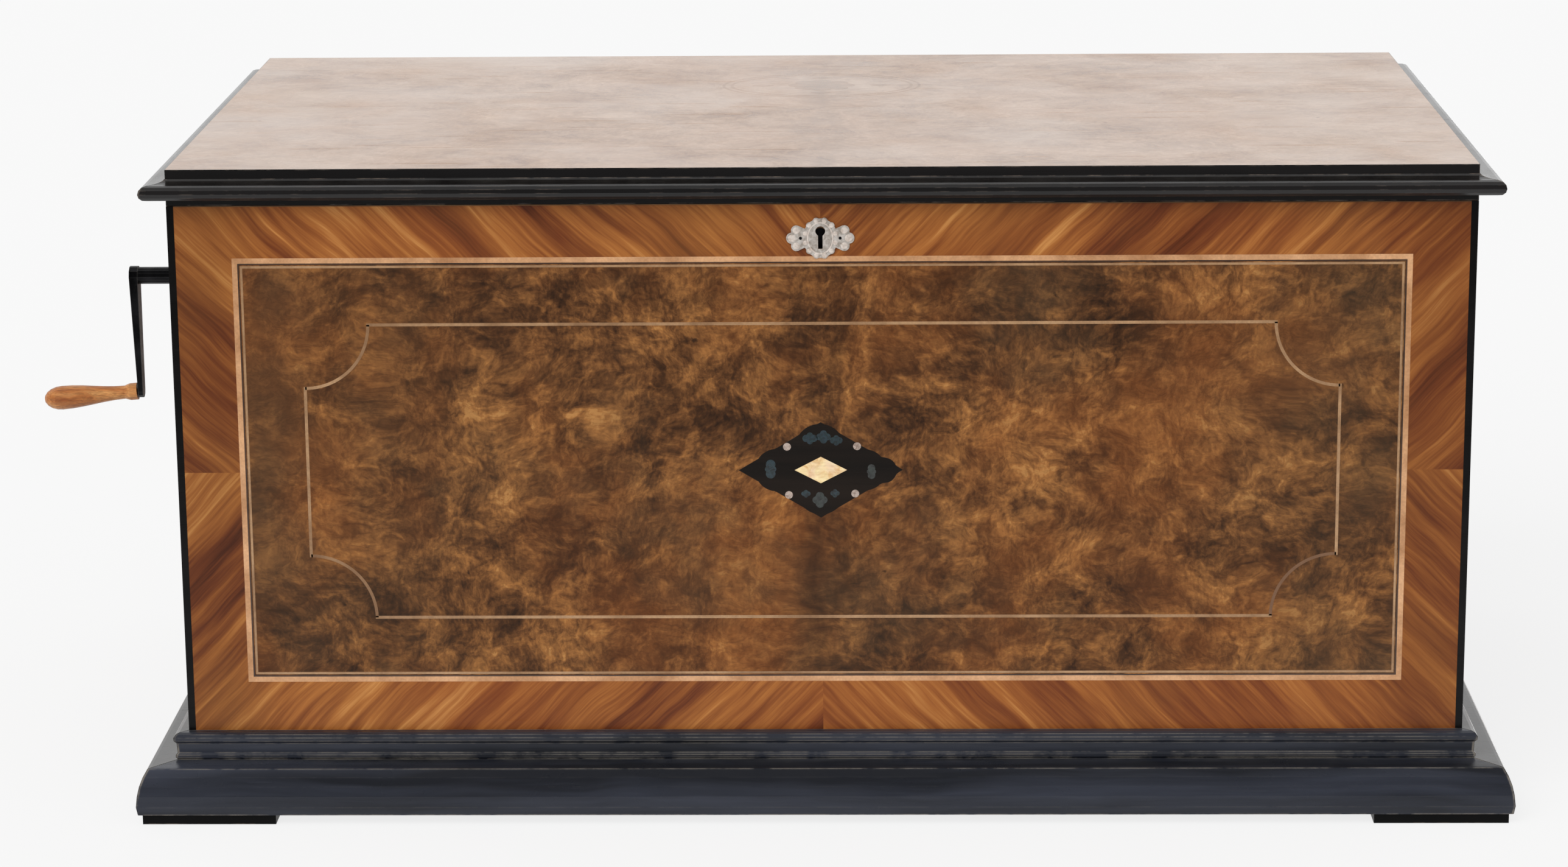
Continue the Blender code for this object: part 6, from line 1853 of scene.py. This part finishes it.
@dataclass
class Movement:
    """Finishes of the movement, lock, crank, glass lid, plinth and feet."""

    groups: tuple[tuple[Finish, Sequence[str]], ...] = (
        (IRON, ("bedplate",)),
        (COMB_IRON, ("comb_base",)),
        (STEEL, ("comb", "drum_stick", "castanet_striker", "click", "play_lever")),
        (BRASS, ("cylinder", "cylinder_arbor", "spring_barrel", "winding_arbor", "governor_wheel",
                 "governor_frame", "barrel_bracket", "centre_bracket", "governor_bracket", "hammer_rail",
                 "bell_stand", "crank_bush", "lock_bolt", "lid_hasp", "lever_plate")),
        (BLUED, ("governor_fan", "bell_hammer_1", "bell_hammer_2", "bell_hammer_3", "bell_hammer_4")),
        (BELL_METAL, ("bell_1", "bell_2", "bell_3", "bell_4")),
        (BLACK_STEEL, ("crank_arm", "lock_body")),
        (NICKEL, ("escutcheon",)),
        (BEECH, ("castanet_block", "crank_grip")),
        (SKIN, ("drum",)),
        (PANE, ("glass_pane",)),
        (EBONISED, ("glass_frame",)),
        (CARCASS, ("partition_right",)),
        (PLINTH_BLACK, ("plinth_front",)),
        (DUST_AND_GLARE_BLACK, ("plinth_left", "plinth_right")),
        (FOOT_BLACK, ("foot_front_left", "foot_front_right", "foot_back_left", "foot_back_right")),
    )

    def build(self) -> None:
        """Give every part its finish."""
        for finish, nodes in self.groups:
            for node in nodes:
                dress(node, finish)
        log.info("movement dressed")


@dataclass
class CylinderPins:
    """Fine steel pins that stand in rows on the cylinder, one set for each tune."""

    rows: int = 78
    pitch: float = 4.1 * MM
    tunes: int = 6
    tune_step: float = 0.6 * MM
    pins: int = 14
    radius: float = 0.26 * MM
    height: float = 0.85 * MM
    sunk: float = 0.2 * MM
    band: float = 1.0 * MM
    band_inset: float = 1.2 * MM
    band_rise: float = 0.25 * MM
    band_steps: int = 96

    def build(self) -> None:
        """Set the pins round the cylinder."""
        low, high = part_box("cylinder")
        middle = (low + high) / 2
        reach = (high.z - low.z) / 2
        start = middle.x - (self.rows - 1) * self.pitch / 2
        chance = random.Random(41)
        blank = Blank()
        for row in range(self.rows):
            for _ in range(self.pins):
                turn = chance.uniform(0.0, 2 * math.pi)
                out = Vector((0.0, math.cos(turn), math.sin(turn)))
                tune = chance.randrange(self.tunes) - self.tunes / 2
                x = start + row * self.pitch + tune * self.tune_step
                foot = Vector((x, middle.y, middle.z)) + out * (reach - self.sunk)
                blank.stud(foot, out, self.radius, self.height)
        blank.piece("cylinder_pins", WORLD, STEEL, "cylinder", "steel")
        bands = Blank()
        inside, outside = reach * 0.9, reach + self.band_rise
        for start in (low.x + self.band_inset, high.x - self.band_inset - self.band):
            end = start + self.band
            bands.spun([(inside, start), (outside, start), (outside, end), (inside, end), (inside, start)],
                       self.band_steps)
        axis = Face(Vector((0.0, middle.y, middle.z)), AWAY, UP)
        bands.piece("cylinder_bands", axis, BRASS, "cylinder", "brass")
        log.info("cylinder pinned")


@dataclass
class Screws:
    """Slotted screws that hold the comb, the bedplate, the lever plate and the hinges."""

    comb_screws: int = 9
    head: float = 2.6 * MM
    rise: float = 1.2 * MM
    slot_width: float = 0.5 * MM
    comb_end: float = 12.0 * MM
    comb_front: float = 9.0 * MM
    lever_top: float = 289.0 * MM
    lever_inset: float = 6.0 * MM
    bed_inset: float = 9.0 * MM
    bed_size: float = 1.5
    hinge_leaf: float = 1.5 * MM
    hinge_inset: float = 8.0 * MM
    hinge_rise: float = 8.5 * MM
    hinge_drop: float = 6.0 * MM
    hinge_size: float = 0.9

    def build(self) -> None:
        """Drive every screw."""
        low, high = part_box("comb")
        step = (high.x - low.x - 2 * self.comb_end) / (self.comb_screws - 1)
        spots = [(low.x + self.comb_end + index * step, low.y + self.comb_front)
                 for index in range(self.comb_screws)]
        self.drive("comb_screws", self.upright(high.z), spots, "case", BLUED, "steel")
        low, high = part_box("lever_plate")
        self.drive("lever_plate_screws", self.upright(self.lever_top),
                   self.corners(low, high, self.lever_inset), "case", STEEL, "steel")
        low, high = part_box("bedplate")
        self.drive("bedplate_screws", self.upright(high.z), self.corners(low, high, self.bed_inset), "case",
                   STEEL, "steel", self.bed_size)
        for owner in ("case", "lid"):
            for side in ("left", "right"):
                self.drive_hinge(owner, side)
        log.info("screws driven")

    @staticmethod
    def upright(height: float) -> Face:
        """Level face at a height."""
        return Face(Vector((0.0, 0.0, height)), ACROSS, AWAY)

    @staticmethod
    def corners(low: Vector, high: Vector, inset: float) -> list[Pair]:
        """Places at an inset from the four corners of a box."""
        return [(x, y) for x in (low.x + inset, high.x - inset) for y in (low.y + inset, high.y - inset)]

    def drive_hinge(self, owner: str, side: str) -> None:
        """Drive the three screws of a hinge leaf.

        Args:
            owner: Body that the leaf belongs to.
            side: Left or right hinge.
        """
        low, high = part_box(f"hinge_{owner}_leaf_{side}")
        back = Face(Vector((0.0, low.y + self.hinge_leaf, 0.0)), -ACROSS, UP)
        height = low.z + self.hinge_rise if owner == "case" else high.z - self.hinge_drop
        middle = (low.x + high.x) / 2
        spots = [(-x, height) for x in (low.x + self.hinge_inset, middle, high.x - self.hinge_inset)]
        self.drive(f"hinge_{owner}_screws_{side}", back, spots, owner, BRASS, "brass", self.hinge_size)

    def drive(self, name: str, face: Face, spots: Sequence[Pair], body: str, finish: Finish,
              slot_name: str, size: float = 1.0) -> None:
        """Drive a set of screws into a face.

        Args:
            name: Name of the set.
            face: Face that they are driven into.
            spots: Place of each screw on the face.
            body: Body that they ride on.
            finish: Finish of the heads.
            slot_name: Material slot of the record.
            size: Factor on the heads.
        """
        heads, slot_shades = Blank(), Blank()
        chance = random.Random(len(name))
        radius, rise = self.head * size, self.rise * size
        profile = [(0.0, -0.1 * MM), (radius, -0.1 * MM), (radius, rise * 0.45), (radius * 0.72, rise * 0.88),
                   (radius * 0.3, rise), (0.0, rise)]
        for spot in spots:
            heads.spun(profile, 24, centre=spot)
            # A dark steel bar across each head stands for the slot: painted shade in place of a cut groove
            turn = Matrix.Rotation(chance.uniform(0.0, math.pi), 4, "Z")
            shape = Matrix.Diagonal((radius * 1.7, self.slot_width * size, 0.5 * MM, 1.0))
            place = Matrix.Translation((spot[0], spot[1], rise - 0.15 * MM))
            bmesh.ops.create_cube(slot_shades.build, size=1.0, matrix=place @ turn @ shape)
        heads.piece(name, face, finish, body, slot_name)
        slot_shades.piece(f"{name}_slots", face, BLACK_STEEL, body, slot_name)


@dataclass
class DrumShell:
    """Bent beech shell and brass hoops of the small drum."""

    radius: float = 40.6 * MM
    inside: float = 38.5 * MM
    hoop_radius: float = 41.9 * MM
    rim: float = 2.0 * MM
    depth: float = 27.0 * MM
    hoop: float = 4.6 * MM
    overlap: float = 0.2 * MM
    steps: int = 96

    def build(self) -> None:
        """Bend the shell and set its hoops."""
        low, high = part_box("drum")
        middle = (low + high) / 2
        place = Face(Vector((middle.x, middle.y, 0.0)), ACROSS, AWAY)
        head = high.z - self.rim
        foot = head - self.depth
        rings = (("drum_shell", foot + self.hoop, head - self.hoop, self.radius, BEECH),
                 ("drum_hoop_low", foot - self.overlap, foot + self.hoop, self.hoop_radius, BRASS),
                 ("drum_hoop_high", head - self.hoop, head - self.overlap, self.hoop_radius, BRASS))
        for name, start, end, out, finish in rings:
            Blank().spun([(self.inside, start), (out, start), (out, end), (self.inside, end),
                          (self.inside, start)], self.steps).piece(name, place, finish, "case", "drum_shell")
        log.info("drum shell bent")


@dataclass
class Studio:
    """Pale floor, soft light and the camera at the photograph's angle."""

    camera_place: Triple = (0.064144, -2.42525, 0.7666)
    pitch: float = 0.2402
    yaw: float = 0.0229
    roll: float = -0.0085
    focal_pixels: float = 6783.9
    image_width: int = 2576
    sensor: float = 36.0
    floor_size: float = 9.0
    floor_front: float = -1.0
    floor_white: float = 0.15
    floor_glow: float = 0.80
    front_gloom: float = 0.22
    ambient: float = 0.58
    backdrop: float = 0.94
    key: float = 1.9
    key_width: float = math.radians(46.0)
    key_tilt: float = math.radians(52.0)
    key_side: float = math.radians(-28.0)

    def build(self) -> None:
        """Set up the floor, the light and the camera."""
        self.set_floor()
        self.set_world()
        self.set_lamps()
        self.set_camera()
        bpy.context.scene.view_settings.view_transform = "Standard"
        log.info("studio set")

    def set_floor(self) -> None:
        """Lay a plain pale floor that keeps the object's shadow."""
        build = bmesh.new()
        bmesh.ops.create_grid(build, x_segments=2, y_segments=2, size=self.floor_size)
        bmesh.ops.translate(build, verts=build.verts, vec=(0.0, self.floor_size + self.floor_front, 0.0))
        mesh = bpy.data.meshes.new("floor")
        build.to_mesh(mesh)
        build.free()
        floor = bpy.data.objects.new("floor", mesh)
        bpy.context.scene.collection.objects.link(floor)
        material = bpy.data.materials.new("pale_floor")
        material.use_nodes = True
        graph = Graph(material.node_tree)
        shader = material.node_tree.nodes["Principled BSDF"]
        shader.inputs["Base Color"].default_value = (*[self.floor_white] * 3, 1.0)
        shader.inputs["Roughness"].default_value = 1.0
        shader.inputs["Specular IOR Level"].default_value = 0.0
        path = graph.add("ShaderNodeLightPath").outputs
        seen = graph.math("MAXIMUM", path["Is Camera Ray"], path["Is Glossy Ray"])
        seen = graph.math("MAXIMUM", seen, path["Is Transmission Ray"])
        glow = graph.add("ShaderNodeEmission", {}, {"Color": (1.0, 1.0, 1.0, 1.0),
                                                   "Strength": graph.times(seen, self.floor_glow)})
        bounce = graph.add("ShaderNodeBsdfDiffuse", {}, {"Color": (0.9, 0.9, 0.9, 1.0)})
        shown = graph.add("ShaderNodeAddShader", {}, {0: shader.outputs[0], 1: glow.outputs[0]})
        chosen = graph.add("ShaderNodeMixShader", {}, {0: seen, 1: bounce.outputs[0], 2: shown.outputs[0]})
        graph.feed(material.node_tree.nodes["Material Output"].inputs["Surface"], chosen.outputs[0])
        mesh.materials.append(material)

    def set_world(self) -> None:
        """Light the room softly and show it white behind the object."""
        world = bpy.data.worlds.new("studio")
        world.use_nodes = True
        bpy.context.scene.world = world
        graph = Graph(world.node_tree)
        back = world.node_tree.nodes["Background"]
        back.inputs["Color"].default_value = (1.0, 1.0, 1.0, 1.0)
        path = graph.add("ShaderNodeLightPath").outputs
        direction = graph.add("ShaderNodeTexCoord").outputs["Generated"]
        ahead = graph.remap(graph.parts(direction)[1], -0.60, 0.05, self.front_gloom, 1.0)
        clear = graph.math("MAXIMUM", path["Is Camera Ray"], path["Is Transmission Ray"])
        mirrored = graph.times(path["Is Glossy Ray"], graph.minus(ahead, self.ambient))
        strength = graph.plus(mirrored, self.ambient)
        strength = graph.math("MAXIMUM", strength, graph.times(clear, self.backdrop))
        graph.feed(back.inputs["Strength"], strength)

    def set_lamps(self) -> None:
        """Hang one broad soft key light at the front left."""
        lamp = bpy.data.lights.new("key", "SUN")
        lamp.energy = self.key
        lamp.angle = self.key_width
        item = bpy.data.objects.new("key", lamp)
        item.rotation_euler = (self.key_tilt, 0.0, self.key_side)
        item.visible_glossy = False
        bpy.context.scene.collection.objects.link(item)

    def set_camera(self) -> None:
        """Put the camera where the photograph was taken."""
        lens = bpy.data.cameras.new("camera")
        lens.sensor_width = self.sensor
        lens.lens = self.focal_pixels * self.sensor / self.image_width
        item = bpy.data.objects.new("camera", lens)
        right = Vector((math.cos(self.yaw), math.sin(self.yaw), 0.0))
        level = Vector((-math.sin(self.yaw), math.cos(self.yaw), 0.0))
        ahead = level * math.cos(self.pitch) - Vector((0.0, 0.0, math.sin(self.pitch)))
        up = right.cross(ahead)
        side = right * math.cos(self.roll) + up * math.sin(self.roll)
        top = up * math.cos(self.roll) - right * math.sin(self.roll)
        turn = Matrix((side, top, -ahead)).transposed().to_4x4()
        item.matrix_world = Matrix.Translation(self.camera_place) @ turn
        bpy.context.scene.collection.objects.link(item)
        bpy.context.scene.camera = item


def main() -> None:
    """Build every sub-assembly in order."""
    logging.basicConfig(level=logging.INFO, format="%(name)s: %(message)s")
    for part in (Movement(), CylinderPins(), Screws(), DrumShell(), FrontPanel(), Diamond(), Escutcheon(),
                 CaseEdges(), Lid(), Studio()):
        part.build()


if __name__ == "__main__":
    main()
